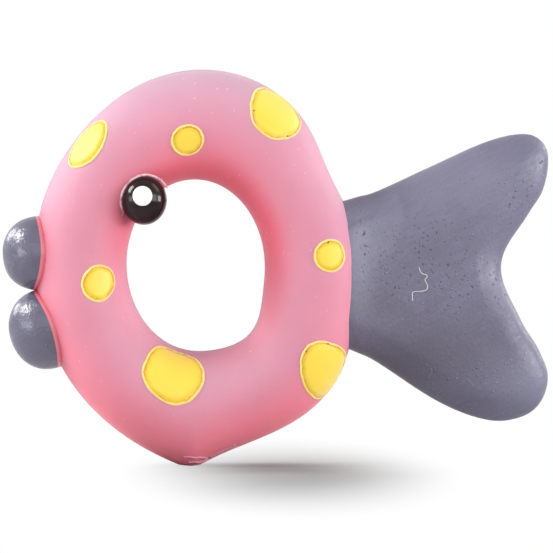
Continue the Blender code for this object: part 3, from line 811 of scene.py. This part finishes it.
def model_tail():
    """The tail: its outline filled, inset ring by ring, filled with a grid and domed like a pillow."""
    outline = evenly_spaced(tail_outline(), TAIL_SIDES)
    bpy.ops.mesh.primitive_circle_add(vertices=TAIL_SIDES, radius=TAIL_LENGTH, fill_type="NGON")
    tail = new_piece("tail_latex")
    for point, place in zip(tail.data.vertices, outline):
        point.co = Vector((place.x, 0, place.y))
    begin_edit(tail)
    before = 0.0
    for index in range(1, TAIL_RINGS + 1):
        reach = TAIL_RIM * (1 - math.cos(math.pi / 2 * index / TAIL_RINGS))
        bpy.ops.mesh.inset(thickness=reach - before, depth=0)
        before = reach
    bpy.ops.mesh.delete(type="ONLY_FACE")
    bpy.ops.mesh.select_mode(type="EDGE")
    bpy.ops.mesh.select_all(action="DESELECT")
    bpy.ops.mesh.select_non_manifold(extend=False, use_wire=False, use_multi_face=False, use_verts=False)
    end_edit()
    for point in tail.data.vertices[:TAIL_SIDES]:
        point.select = False
    for edge in tail.data.edges:
        edge.select = edge.select and min(edge.vertices) >= TAIL_SIDES
    rim_points = len(tail.data.vertices)
    bpy.ops.object.mode_set(mode="EDIT")
    bpy.ops.mesh.fill_grid(span=TAIL_SIDES // 4, offset=TAIL_GRID_TURN)
    end_edit()
    for point in tail.data.vertices:
        point.select = point.index >= rim_points
    for part in (*tail.data.edges, *tail.data.polygons):
        part.select = min(part.vertices) >= rim_points
    bpy.ops.object.mode_set(mode="EDIT")
    bpy.ops.mesh.select_mode(type="VERT")
    bpy.ops.mesh.vertices_smooth(factor=0.5, repeat=200)
    end_edit()
    for point in tail.data.vertices:
        place = Vector((point.co.x, point.co.z))
        depth = tail_depth(place, outline) if point.index >= TAIL_SIDES else 0
        uneven = 1 + TAIL_UNEVEN * noise.noise(point.co * TAIL_UNEVEN_SCALE)
        point.co = RING_CENTRE + Vector((place.x, -depth * uneven, place.y))
    begin_edit(tail)
    bpy.ops.mesh.select_mode(type="VERT")
    select_points(tail, lambda place: place.y < -TAIL_TIP_HALF / 2)
    bpy.ops.mesh.vertices_smooth(factor=0.5, repeat=12, xaxis=False, zaxis=False)
    end_edit()
    apply_modifier(tail, "MIRROR", use_axis=(False, True, False), use_clip=True)
    finish_normals(tail)
    apply_modifier(tail, "REMESH", mode="VOXEL", voxel_size=TAIL_VOXEL)
    apply_modifier(tail, "SMOOTH", factor=0.5, iterations=8)
    places = [(point.co - RING_CENTRE).xz for point in tail.data.vertices]
    store_values(tail, "pitted", [patch_share(place, PITTED_PATCHES) for place in places])
    # Painted shade on the tail's lower part
    store_values(tail, "painted_shade_low", [patch_share(place, PAINTED_SHADE_PATCHES) for place in places])
    # Paler where partly worn and where highlights are painted
    store_values(tail, "worn_and_highlit", [wear_and_highlight(place) for place in places])
    smooth(tail)
    return tail


def lay_line(name, path, radius, base):
    """A fine raised line along a path in the toy's plane, laid on the front face of a piece."""
    bpy.ops.curve.primitive_nurbs_path_add()
    line = bpy.context.object
    line.name = name
    spline = line.data.splines[0]
    spline.points.add(len(path) - len(spline.points))
    spline.order_u = 3
    spline.use_endpoint_u = True
    for knot, place in zip(spline.points, path):
        start = RING_CENTRE + Vector((place[0], -RING_DEPTH, place[1]))
        knot.co = (*base.ray_cast(start, Vector((0, 1, 0)))[1], 1)
    line.data.bevel_depth = radius
    line.data.bevel_resolution = 2
    line.data.use_fill_caps = True
    bpy.ops.object.convert(target="MESH")
    line = new_piece(name)
    finish_normals(line)
    smooth(line)
    return line


# Lips
def model_lip(name, middle, facing, reach, half_height):
    """A full lip: a ball drawn out along the outline, set into the ring's nose."""
    centre = RING_CENTRE + middle
    bpy.ops.mesh.primitive_uv_sphere_add(
        segments=BALL_SEGMENTS,
        ring_count=BALL_RINGS,
        radius=1,
        location=centre,
        rotation=(0, -facing, 0),
        scale=(reach, LIP_HALF_DEPTH, half_height),
    )
    lip = new_piece(name)
    outwards = Vector((math.cos(facing), 0, math.sin(facing)))
    along = Vector((-math.sin(facing), 0, math.cos(facing)))
    for point in lip.data.vertices:
        offset = point.co - centre
        out = offset.dot(outwards) / reach
        side = offset.dot(along) / half_height
        flat = math.hypot(out, side)
        if flat > 0:
            squared = abs(out / flat) ** LIP_SQUARE + abs(side / flat) ** LIP_SQUARE
            fuller = squared ** (-1 / LIP_SQUARE)
            offset = Vector((offset.x * fuller, offset.y, offset.z * fuller))
        point.co = centre + offset * (1 + LIP_UNEVEN * noise.noise(point.co * LIP_UNEVEN_SCALE))
    store_values(lip, "above_skin", [ring_height(point.co) for point in lip.data.vertices])
    smooth(lip)
    return lip


# Eyes
def eye_centre():
    radius = hole_radius(EYE_ANGLE) + EYE_FROM_HOLE
    place = Vector((radius * math.cos(EYE_ANGLE), -EYE_CENTRE_DEPTH, radius * math.sin(EYE_ANGLE)))
    return RING_CENTRE + place


def bead_rise(aside, up):
    """How far the bead's button-like face stands out from its middle, at a place on it."""
    reach = min(math.hypot(aside / EYE_NARROW, (up - EYE_LIFT) / EYE_TALL) / EYE_RADIUS, 1)
    return EYE_HALF_DEPTH * (1 - reach ** EYE_BUTTON) ** (1 / EYE_BUTTON)


def model_eye():
    bpy.ops.mesh.primitive_uv_sphere_add(
        segments=BALL_SEGMENTS,
        ring_count=BALL_RINGS,
        radius=EYE_RADIUS,
        location=eye_centre(),
        rotation=(math.pi / 2, 0, 0),
    )
    eye = new_piece("front_eye_bead")
    for point in eye.data.vertices:
        offset = point.co - eye_centre()
        aside = offset.x * EYE_NARROW
        up = offset.z * EYE_TALL + EYE_LIFT
        forward = math.copysign(bead_rise(aside, up), offset.y)
        point.co = eye_centre() + Vector((aside, forward, up))
    smooth(eye)
    return eye


def bead_edge(ray):
    """How far from its middle the bead comes out of the ring's skin, along a ray."""
    centre = eye_centre()
    reach = LEDGE_SEARCH
    while EYE_CENTRE_DEPTH + bead_rise(ray.x * reach, ray.z * reach) < -ring_face(centre + ray * reach):
        reach -= LEDGE_SEARCH_STEP
    return reach


def model_eye_ledge():
    """The pink ledge that grips the bead on its upper left, thinning out at both ends."""
    centre = eye_centre()
    ledge = add_torus("front_eye_ledge", centre, LEDGE_SEGMENTS, LEDGE_SIDES, EYE_RADIUS, LEDGE_RADIUS)
    middle = (LEDGE_START + LEDGE_END) / 2
    half = (LEDGE_END - LEDGE_START) / 2

    def from_middle(place):
        offset = place - centre
        return abs(angle_between(math.atan2(offset.z, offset.x), middle)) / half

    begin_edit(ledge)
    select_points(ledge, lambda place: from_middle(place) > 1)
    bpy.ops.mesh.delete(type="VERT")
    bpy.ops.mesh.select_all(action="SELECT")
    bpy.ops.mesh.region_to_loop()
    bpy.ops.mesh.edge_face_add()
    end_edit()
    for point in ledge.data.vertices:
        offset = point.co - centre
        turn = math.atan2(offset.z, offset.x)
        ray = Vector((math.cos(turn), 0, math.sin(turn)))
        taper = math.sqrt(max(1 - from_middle(point.co) ** LEDGE_TAPER, LEDGE_THINNEST))
        aside = (offset.xz.length - EYE_RADIUS) * taper
        place = centre + ray * (bead_edge(ray) + LEDGE_GAP + aside)
        point.co = Vector((place.x, ring_face(place) + offset.y * taper, place.z))
    finish_normals(ledge)
    smooth(ledge)
    return ledge


def lay_on_bead(piece):
    """Lays a flat piece, drawn in X and Y with its height in Z, on the front of the bead."""
    for point in piece.data.vertices:
        aside = point.co.x - DOT_ASIDE
        up = point.co.y + DOT_RISE
        point.co = eye_centre() + Vector((aside, -bead_rise(aside, up) - point.co.z, up))


def model_dot():
    """The white dot: a thin round of paint with a rounded edge."""
    bpy.ops.mesh.primitive_circle_add(vertices=SPOT_SIDES, radius=DOT_RADIUS, fill_type="NGON")
    dot = new_piece("front_eye_dot_paint")
    begin_edit(dot)
    bpy.ops.transform.translate(value=(0, 0, -DOT_THICKNESS))
    bpy.ops.mesh.extrude_region_move(TRANSFORM_OT_translate={"value": (0, 0, DOT_STAND)})
    for thickness, rise in DOT_STEPS:
        bpy.ops.mesh.inset(thickness=thickness, depth=rise)
    bpy.ops.mesh.poke()
    end_edit()
    finish_normals(dot)
    lay_on_bead(dot)
    smooth(dot)
    return dot


# Spots
def spot_edge(turn, shares, seed):
    """How far a spot's hand-poured edge runs out at a turn round it."""
    place = turn / math.tau * len(shares)
    index = math.floor(place)
    here = shares[index % len(shares)]
    after = shares[(index + 1) % len(shares)]
    ripple = sum(reach * math.sin(count * turn + start * seed) for reach, count, start in SPOT_RIPPLES)
    return here + (after - here) * smooth_step(place - index, 0, 1) + ripple


def lay_on_ring(piece, spot):
    """Lays a flat piece, drawn in X and Y with its height in Z, on the front of the ring."""
    angle = math.radians(spot[0])
    around = math.radians(spot[1])
    section = (outer_radius(angle) - hole_radius(angle)) / 2
    reach = (ring_point(angle, around) - RING_CENTRE).xz.length
    for point in piece.data.vertices:
        point_angle = angle + point.co.x / reach
        point_turn = around + point.co.y / section
        place = ring_point(point_angle, point_turn)
        point.co = place + ring_normal(point_angle, point_turn) * point.co.z


def model_spot(name, spot, seed):
    """A poured spot: a pale raised rim, a groove inside it and a low domed pad."""
    length, width, shares = spot[2:]
    bpy.ops.mesh.primitive_circle_add(vertices=SPOT_SIDES, radius=1, fill_type="NGON")
    pad = new_piece(name)
    for point in pad.data.vertices:
        edge = spot_edge(math.atan2(point.co.y, point.co.x), shares, seed)
        point.co = Vector((point.co.x * edge * length / 2, point.co.y * edge * width / 2, -SPOT_SINK))
    rim = [point.co.xy for point in pad.data.vertices]
    begin_edit(pad)
    bpy.ops.mesh.extrude_region_move(TRANSFORM_OT_translate={"value": (0, 0, SPOT_SINK)})
    left = min(length, width) / 2
    for thickness, rise in SPOT_RIM_STEPS:
        bpy.ops.mesh.inset(thickness=thickness, depth=rise)
        left -= thickness
    for share, rise in SPOT_PAD_STEPS:
        bpy.ops.mesh.inset(thickness=share * left, depth=rise)
        bpy.ops.mesh.vertices_smooth(factor=0.5, repeat=2, zaxis=False)
    bpy.ops.mesh.poke()
    end_edit()
    finish_normals(pad)
    apply_modifier(pad, "SUBSURF", levels=1, render_levels=1)
    from_rim = [outline_distance(point.co.xy, rim) for point in pad.data.vertices]
    store_values(pad, "from_rim", from_rim)
    lay_on_ring(pad, spot)
    smooth(pad)
    return pad


# Shader helpers
def add_node(tree, kind, **settings):
    node = tree.nodes.new(kind)
    for setting, value in settings.items():
        setattr(node, setting, value)
    return node


def connect(tree, node, **inputs):
    """Fills inputs of a node, each from an output of another node or with a plain value."""
    for name, value in inputs.items():
        socket = node.inputs[name.replace("_", " ")]
        if isinstance(value, bpy.types.NodeSocket):
            tree.links.new(value, socket)
        elif socket.type == "RGBA":
            socket.default_value = (*value, 1)
        else:
            socket.default_value = value
    return node.outputs


def map_range(tree, value, kind="LINEAR", clamp=True, **ends):
    """A value moved from one range to another. An end that isn't given is 0 or 1."""
    node = add_node(tree, "ShaderNodeMapRange", interpolation_type=kind, clamp=clamp)
    return connect(tree, node, Value=value, **ends)["Result"]


def combine(tree, operation, first, second):
    node = add_node(tree, "ShaderNodeMath", operation=operation)
    tree.links.new(first, node.inputs[0])
    tree.links.new(second, node.inputs[1])
    return node.outputs["Value"]


def sum_of(tree, *parts):
    """The sum of values, each with its weight."""
    total = None
    for value, weight in parts:
        scaled = add_node(tree, "ShaderNodeMath", operation="MULTIPLY_ADD")
        tree.links.new(value, scaled.inputs[0])
        scaled.inputs[1].default_value = weight
        if total:
            tree.links.new(total, scaled.inputs[2])
        else:
            scaled.inputs[2].default_value = 0.0
        total = scaled.outputs["Value"]
    return total


def mix(tree, factor, first, second):
    """A colour between two others."""
    node = add_node(tree, "ShaderNodeMix", data_type="RGBA")
    return connect(tree, node, Factor=factor, A=first, B=second)["Result"]


def ramp(tree, value, stops):
    """A colour ramp on a value, with stops of place and colour."""
    node = add_node(tree, "ShaderNodeValToRGB")
    elements = node.color_ramp.elements
    while len(elements) < len(stops):
        elements.new(0.5)
    for element, (place, colour) in zip(elements, stops):
        element.position = place
        element.color = (*colour, 1)
    return connect(tree, node, Fac=value)["Color"]


def kept_value(tree, name):
    """A value that is kept on each point of the piece."""
    return add_node(tree, "ShaderNodeAttribute", attribute_name=name).outputs["Fac"]


def tint(tree, colour, name, shade):
    """Mixes a colour towards a shade by a value that is kept on the piece."""
    return mix(tree, kept_value(tree, name), colour, shade)


def brighten(tree, colour, value):
    """A colour with its brightness multiplied by a value."""
    return connect(tree, add_node(tree, "ShaderNodeHueSaturation"), Value=value, Color=colour)["Color"]


def add_bump(tree, shader, height, strength, distance):
    node = add_node(tree, "ShaderNodeBump")
    normal = connect(tree, node, Height=height, Strength=strength, Distance=distance)["Normal"]
    connect(tree, shader, Normal=normal)


# Effects that the materials share
def new_group(name, values, outputs):
    """A shader node group with named sockets: a vector and values in, values out."""
    tree = bpy.data.node_groups.new(name, "ShaderNodeTree")
    tree.interface.new_socket("Vector", in_out="INPUT", socket_type="NodeSocketVector")
    for socket, value in values.items():
        made = tree.interface.new_socket(socket, in_out="INPUT", socket_type="NodeSocketFloat")
        made.default_value = value
    for socket in outputs:
        tree.interface.new_socket(socket, in_out="OUTPUT", socket_type="NodeSocketFloat")
    return tree, tree.nodes.new("NodeGroupInput").outputs, tree.nodes.new("NodeGroupOutput")


def add_group(tree, group, place, **values):
    node = add_node(tree, "ShaderNodeGroup", node_tree=group)
    return connect(tree, node, Vector=place, **values)


def make_bubble_group():
    """Small bubbles and pits in cast latex: gives a height and a mask of both."""
    values = {"Scale": 600.0, "Share": 0.2, "Size": 0.3}
    tree, start, end = new_group("latex_bubbles", values, ("Height", "Mask"))
    voronoi = add_node(tree, "ShaderNodeTexVoronoi")
    cells = connect(tree, voronoi, Vector=start["Vector"], Scale=start["Scale"])
    lot = connect(tree, add_node(tree, "ShaderNodeSeparateColor"), Color=cells["Color"])
    dome = map_range(tree, cells["Distance"], "SMOOTHSTEP", From_Max=start["Size"], To_Min=1.0, To_Max=0.0)
    picked = combine(tree, "LESS_THAN", lot["Red"], start["Share"])
    mask = combine(tree, "MULTIPLY", dome, picked)
    rise = map_range(tree, lot["Green"], To_Min=DEEPEST_PIT)
    connect(tree, end, Height=combine(tree, "MULTIPLY", mask, rise), Mask=mask)
    return tree


def make_mottle_group():
    """Soft blotches and a fine grain that break up a cast colour."""
    values = {"Blotch Scale": 60.0, "Grain Scale": 900.0}
    tree, start, end = new_group("latex_mottle", values, ("Blotch", "Grain"))
    for output, detail in (("Blotch", 4.0), ("Grain", 2.0)):
        field = add_node(tree, "ShaderNodeTexNoise")
        scale = start[output + " Scale"]
        height = connect(tree, field, Vector=start["Vector"], Scale=scale, Detail=detail, Roughness=0.55)
        connect(tree, end, **{output: height["Fac"]})
    return tree


def make_pinhole_group():
    """A mask of the few open pinholes in the spots, seen along the toy's depth, which painted shade
    darkens.
    """
    tree, start, end = new_group("open_pinholes", {"Radius": PINHOLE_RADIUS}, ("Mask",))
    flat = add_node(tree, "ShaderNodeVectorMath", operation="MULTIPLY")
    flat.inputs[1].default_value = (1, 0, 1)
    tree.links.new(start["Vector"], flat.inputs[0])
    nearest = None
    for across, up in PINHOLES:
        gap = add_node(tree, "ShaderNodeVectorMath", operation="DISTANCE")
        gap.inputs[1].default_value = RING_CENTRE + Vector((across, 0, up))
        tree.links.new(flat.outputs["Vector"], gap.inputs[0])
        distance = gap.outputs["Value"]
        nearest = combine(tree, "MINIMUM", nearest, distance) if nearest else distance
    mask = map_range(tree, nearest, "SMOOTHSTEP", From_Max=start["Radius"], To_Min=1.0, To_Max=0.0)
    connect(tree, end, Mask=mask)
    return tree


# Materials
def new_material(name, **finish):
    """A material with its Principled BSDF and the object's own coordinates."""
    material = bpy.data.materials.new(name)
    material.use_nodes = True
    tree = material.node_tree
    shader = tree.nodes["Principled BSDF"]
    connect(tree, shader, **finish)
    place = add_node(tree, "ShaderNodeTexCoord").outputs["Object"]
    return material, tree, shader, place


def make_pink_latex(bubbles, mottle):
    """Cast latex, paler on top as painted light, redder underneath, towards the hole and in creases as
    painted shade, with clusters of bubbles painted pale as their highlight.
    """
    material, tree, shader, place = new_material("pink_latex_skin", Roughness=0.56, Specular_IOR_Level=0.3)
    cloud = add_group(tree, mottle, place, Blotch_Scale=55.0, Grain_Scale=1100.0)
    level = map_range(tree, kept_value(tree, "painted_light_from_above"), From_Min=-1.0)
    # Paler on top as painted light, redder underneath as painted shade
    colour = ramp(tree, level, [(0.0, PINK_PAINTED_UNDERSIDE_SHADE), (0.5, PINK_SIDE), (1.0, PINK_PAINTED_TOP_LIGHT)])
    tone = map_range(tree, cloud["Blotch"], From_Min=0.3, From_Max=0.7, To_Min=0.96, To_Max=1.04)
    colour = brighten(tree, colour, tone)
    # Painted shade towards the hole
    colour = tint(tree, colour, "painted_hole_shade", HOLE_PAINTED_SHADE)
    # Painted shade in the creases round the lips and eyes
    colour = tint(tree, colour, "painted_crease_shade", CREASE_PAINTED_SHADE)
    fine = add_group(tree, bubbles, place, Scale=620.0, Share=0.22, Size=0.24)
    clusters = ramp(tree, cloud["Blotch"], BUBBLE_CLUSTERS)
    dots = combine(tree, "MULTIPLY", fine["Mask"], clusters)
    # The bubbles are painted pale as their highlight
    connect(tree, shader, Base_Color=mix(tree, dots, colour, PINK_PAINTED_HIGHLIGHT))
    add_bump(tree, shader, sum_of(tree, (dots, 1.0), (cloud["Grain"], 0.30)), strength=0.5, distance=0.0003)
    connect(tree, shader, Subsurface_Weight=0.12, Subsurface_Scale=0.004)
    connect(tree, shader, Sheen_Weight=0.12, Sheen_Roughness=0.6)
    return material


def make_grey_latex(bubbles, mottle):
    """Brushed grey latex with clusters of pits, painted shade in the pits and on its lower part, painted
    highlights on bubbles and round its root and lobes, and a patch worn paler at its root that is partly a
    painted highlight.
    """
    material, tree, shader, place = new_material("grey_latex_skin")
    cloud = add_group(tree, mottle, place, Blotch_Scale=70.0, Grain_Scale=900.0)
    strokes = add_node(tree, "ShaderNodeMapping", vector_type="TEXTURE")
    along = connect(tree, strokes, Vector=place, Rotation=BRUSH_TURN, Scale=BRUSH_SCALE)["Vector"]
    brushed = add_group(tree, mottle, along, Blotch_Scale=60.0, Grain_Scale=220.0)
    streaks = sum_of(tree, (cloud["Blotch"], 0.6), (brushed["Grain"], 0.4))
    colour = ramp(tree, streaks, [(0.4, GREY_DEEP), (0.6, GREY_LIGHT)])
    # Painted shade on the tail's lower part
    colour = tint(tree, colour, "painted_shade_low", GREY_SHADE)
    # Paler where partly worn and where highlights are painted
    colour = tint(tree, colour, "worn_and_highlit", GREY_WORN_AND_HIGHLIT)
    rough = map_range(tree, brushed["Blotch"], From_Min=0.3, From_Max=0.7, To_Min=0.32, To_Max=0.50)
    fine = add_group(tree, bubbles, place, Scale=820.0, Share=0.8, Size=0.36)
    clusters = ramp(tree, cloud["Blotch"], PIT_CLUSTERS)
    where = combine(tree, "MAXIMUM", kept_value(tree, "pitted"), clusters)
    pits = combine(tree, "MULTIPLY", fine["Height"], where)
    # Painted highlights on bubbles and painted shade in pits
    speckle_painted_light = map_range(tree, pits, clamp=False, To_Min=1.0, To_Max=1.0 + SPECKLE_PAINTED_LIGHT)
    connect(tree, shader, Base_Color=brighten(tree, colour, speckle_painted_light), Roughness=rough)
    height = sum_of(tree, (pits, 1.0), (cloud["Grain"], 0.16), (brushed["Grain"], 0.10))
    add_bump(tree, shader, height, strength=1.0, distance=0.0008)
    return material


def make_lip_latex(bubbles, mottle):
    """Grey paint on the lips that leaves a pink collar bare where they meet the ring, darkened as painted
    shade in the crease at its foot.
    """
    material, tree, shader, place = new_material("lip_latex_skin", Roughness=0.27, Specular_IOR_Level=0.75)
    cloud = add_group(tree, mottle, place, Blotch_Scale=110.0, Grain_Scale=520.0)
    grey = ramp(tree, cloud["Blotch"], [(0.3, LIP_DEEP), (0.7, LIP_LIGHT)])
    above = kept_value(tree, "above_skin")
    climb = map_range(tree, above, From_Max=LIP_COLLAR)
    # Painted shade in the crease at the collar's foot
    collar = ramp(tree, climb, [(0.0, CREASE_PAINTED_SHADE), (0.7, COLLAR_PINK)])
    edge = {"From_Min": LIP_COLLAR - LIP_PAINT_EDGE, "From_Max": LIP_COLLAR + LIP_PAINT_EDGE}
    painted = map_range(tree, above, "SMOOTHSTEP", **edge)
    connect(tree, shader, Base_Color=mix(tree, painted, collar, grey))
    fine = add_group(tree, bubbles, place, Scale=560.0, Share=0.22, Size=0.26)
    height = sum_of(tree, (fine["Height"], 1.0), (cloud["Grain"], 0.9))
    add_bump(tree, shader, height, strength=0.8, distance=0.0004)
    return material


def make_yellow_latex(pinholes, mottle):
    """Poured latex: a cream rim, an uneven amber groove darkened as painted shade, open pinholes painted
    dark as the shade inside them, and a warm yellow pad.
    """
    finish = {"Roughness": 0.42, "Specular_IOR_Level": 0.45}
    material, tree, shader, place = new_material("yellow_poured_latex", **finish)
    cloud = add_group(tree, mottle, place, Blotch_Scale=240.0, Grain_Scale=900.0)
    uneven = map_range(tree, cloud["Grain"], To_Min=-GROOVE_STRAY, To_Max=GROOVE_STRAY)
    strayed = sum_of(tree, (kept_value(tree, "from_rim"), 1.0), (uneven, 1.0))
    reach = map_range(tree, strayed, From_Max=SPOT_SHADES)
    # The groove painted darker as its shade
    grooved = ramp(tree, reach, GROOVED_SHADES)
    plain = ramp(tree, reach, PLAIN_SHADES)
    clusters = ramp(tree, cloud["Blotch"], PLAIN_CLUSTERS)
    holes = add_group(tree, pinholes, place, Radius=PINHOLE_RADIUS)["Mask"]
    colour = mix(tree, clusters, grooved, plain)
    # Pinholes painted dark as the shade inside them
    connect(tree, shader, Base_Color=mix(tree, holes, colour, PINHOLE_SHADE))
    height = sum_of(tree, (cloud["Blotch"], 0.6), (holes, -1.5))
    add_bump(tree, shader, height, strength=0.6, distance=0.0004)
    connect(tree, shader, Subsurface_Weight=0.25, Subsurface_Scale=0.004)
    connect(tree, shader, Sheen_Weight=0.4, Sheen_Roughness=0.5)
    return material


def make_two_tone(mottle, name, scales, deep, light, roughness, specular, bumps):
    material, tree, shader, place = new_material(name, Roughness=roughness, Specular_IOR_Level=specular)
    cloud = add_group(tree, mottle, place, Blotch_Scale=scales[0], Grain_Scale=scales[1])
    connect(tree, shader, Base_Color=ramp(tree, cloud["Blotch"], (deep, light)))
    if bumps:
        source, strength, distance = bumps
        add_bump(tree, shader, cloud[source], strength, distance)
    return material


# Stage
def make_world():
    """White to the camera and in reflections, and dimmer as a light."""
    world = bpy.data.worlds.new("white_studio")
    bpy.context.scene.world = world
    world.use_nodes = True
    tree = world.node_tree
    path = add_node(tree, "ShaderNodeLightPath").outputs
    seen = path["Is Camera Ray"]
    for ray in ("Is Glossy Ray", "Is Transmission Ray"):
        seen = combine(tree, "MAXIMUM", seen, path[ray])
    strength = map_range(tree, seen, To_Min=WORLD_LIGHT)
    connect(tree, tree.nodes["Background"], Color=(1, 1, 1), Strength=strength)


def aim_at_toy(name, data, place):
    """Puts a lamp or the camera at a place, facing the toy."""
    thing = bpy.data.objects.new(name, data)
    bpy.context.scene.collection.objects.link(thing)
    thing.location = place
    thing.rotation_euler = (AIM - place).to_track_quat("-Z", "Y").to_euler()
    return thing


def add_softbox(name, place, size, power):
    """A square soft light that faces the toy."""
    light = bpy.data.lights.new(name, "AREA")
    light.size = size
    light.energy = power
    return aim_at_toy(name, light, Vector(place))


def keep_light(lamp, floor, state):
    """Lets a lamp light only the floor, or all but the floor."""
    receivers = bpy.data.collections.new(lamp.name + "_receivers")
    receivers.objects.link(floor)
    receivers.collection_objects[0].light_linking.link_state = state
    lamp.light_linking.receiver_collection = receivers


def make_floor():
    """A white floor that keeps the shadow near the toy and runs out into plain white."""
    bpy.ops.mesh.primitive_plane_add(size=FLOOR_SIZE)
    floor = new_piece("studio_floor")
    material, tree, shader, place = new_material("white_floor", Roughness=0.9, Specular_IOR_Level=0.0)
    shade = add_node(tree, "ShaderNodeMapping", vector_type="TEXTURE")
    offset = connect(tree, shade, Vector=place, Location=FLOOR_SHADE, Scale=(1, FLOOR_DEEP, 1))["Vector"]
    distance = add_node(tree, "ShaderNodeVectorMath", operation="LENGTH")
    tree.links.new(offset, distance.inputs[0])
    ends = {"From_Min": FLOOR_NEAR, "From_Max": FLOOR_FAR}
    away = map_range(tree, distance.outputs["Value"], "SMOOTHSTEP", **ends)
    seen = add_node(tree, "ShaderNodeLightPath").outputs["Is Camera Ray"]
    shown = ramp(tree, away, [(0.0, FLOOR_WHITE), (1.0, (0, 0, 0))])
    connect(tree, shader, Base_Color=mix(tree, seen, FLOOR_BOUNCE, shown), Emission_Color=(1, 1, 1))
    glow = combine(tree, "MULTIPLY", map_range(tree, away, To_Min=FLOOR_FILL), seen)
    connect(tree, shader, Emission_Strength=glow)
    floor.data.materials.append(material)
    return floor


def make_camera():
    camera = bpy.data.cameras.new("photo_camera")
    camera.sensor_width = SENSOR
    camera.lens = SENSOR * CAMERA_DISTANCE / VIEW_WIDTH
    camera.clip_end = CAMERA_REACH
    level = math.cos(CAMERA_RISE)
    back = Vector((level * math.sin(CAMERA_TURN), -level * math.cos(CAMERA_TURN), math.sin(CAMERA_RISE)))
    bpy.context.scene.camera = aim_at_toy("photo_camera", camera, AIM + back * CAMERA_DISTANCE)


# The toy put together
def dress(piece, material, slot, *nodes):
    """Gives a piece its material, and lets it take the place of solids if they are named. The slot is not
    used.
    """
    piece.data.materials.clear()
    piece.data.materials.append(material)
    if nodes:
        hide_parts(*nodes)


def follow_squeeze(piece):
    """Puts the piece's place into its mesh."""
    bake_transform(piece)


bubble_group = make_bubble_group()
mottle_group = make_mottle_group()
pinhole_group = make_pinhole_group()
pink_latex = make_pink_latex(bubble_group, mottle_group)
grey_latex = make_grey_latex(bubble_group, mottle_group)
lip_latex = make_lip_latex(bubble_group, mottle_group)
yellow_latex = make_yellow_latex(pinhole_group, mottle_group)
plain = {name: make_two_tone(mottle_group, name, *values) for name, values in TWO_TONES.items()}

for side, way in (("front", -1), ("back", 1)):
    skin = model_skin(side + "_skin_latex", way)
    if side == "back":
        raise_seat(skin)
    apply_modifier(skin, "SOLIDIFY", thickness=SKIN_WALL, offset=-1.0)
    if side == "back":
        bore(skin, RECESS_RADIUS, RECESS_FLOOR)
        bore(skin, BORE_RADIUS, 0)
    make_active(skin)
    bpy.ops.object.shade_smooth_by_angle(angle=SKIN_SHARP)
    dress(skin, pink_latex, "pink_latex", side + "_skin")
    follow_squeeze(skin)
    if side == "front":
        for place, path in TIP_FOLDS.items():
            fold = lay_line(f"tip_fold_{place}", path, FOLD_RADIUS, skin)
            dress(fold, pink_latex, "pink_latex")
            follow_squeeze(fold)

for name, radius, outwards in (("outer_seam", outer_radius, 1), ("hole_seam", hole_radius, -1)):
    seam = model_seam(name + "_ridge", radius, outwards)
    dress(seam, pink_latex, "pink_latex", name)
    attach(seam, "midline")

tail = model_tail()
dress(tail, grey_latex, "grey_latex", "tail_skin")
thread = lay_line("tail_stray_thread", THREAD, THREAD_RADIUS, tail)
dress(thread, plain["pale_stray_thread"], "white_paint")
tail_pieces = [tail, thread]
for place, path in FLAWS.items():
    flaw = lay_line(f"tail_flaw_{place}", path, FLAW_RADIUS, tail)
    dress(flaw, grey_latex, "grey_latex")
    tail_pieces.append(flaw)
for piece in tail_pieces:
    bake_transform(piece)

for name, shape in (("upper_lip", UPPER_LIP), ("lower_lip", LOWER_LIP)):
    lip = model_lip(name + "_latex", *shape)
    dress(lip, lip_latex, "grey_latex", name)
    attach(lip, "midline")
    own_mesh(lip)

front_eye = model_eye()
front_dot = model_dot()
front_ledge = model_eye_ledge()
front_spots = {}
for seed, (place, spot) in enumerate(SPOTS.items()):
    front_spots[place] = model_spot(f"front_spot_{place}_pad", spot, seed)
back_eye = mirror_to_back(front_eye, "back_eye_bead")
back_dot = mirror_to_back(front_dot, "back_eye_dot_paint")
back_ledge = mirror_to_back(front_ledge, "back_eye_ledge")
back_spots = {place: mirror_to_back(pad, f"back_spot_{place}_pad") for place, pad in front_spots.items()}
for side, eye, dot, ledge, spots in (
    ("front", front_eye, front_dot, front_ledge, front_spots),
    ("back", back_eye, back_dot, back_ledge, back_spots),
):
    dress(eye, plain["black_gloss_bead"], "black_gloss", side + "_eye")
    dress(dot, plain["white_dot_paint"], "white_paint", side + "_eye_dot")
    # The ledge is painted pale as its highlight
    dress(ledge, plain["pale_latex_painted_highlight"], "pink_latex")
    for place, pad in spots.items():
        dress(pad, yellow_latex, "yellow_latex", f"{side}_spot_{place}")
        follow_squeeze(pad)
    for piece in (eye, dot, ledge):
        follow_squeeze(piece)

for node in ("squeaker_plug", "squeaker_grille", "tone_board", "reed_wedge", "reed"):
    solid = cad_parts[node]
    solid.data.materials.clear()
    finish = "reed_plastic_film" if node == "reed" else "ivory_squeaker_plastic"
    solid.data.materials.append(plain[finish])

make_world()
floor = make_floor()
for softbox in SOFTBOXES:
    keep_light(add_softbox(*softbox), floor, "EXCLUDE")
floor_lamp = add_softbox(*FLOOR_LAMP)
floor_lamp.data.shape = "RECTANGLE"
floor_lamp.data.size_y = FLOOR_LAMP_ACROSS
keep_light(floor_lamp, floor, "INCLUDE")
make_camera()
bpy.context.scene.view_settings.view_transform = "Standard"
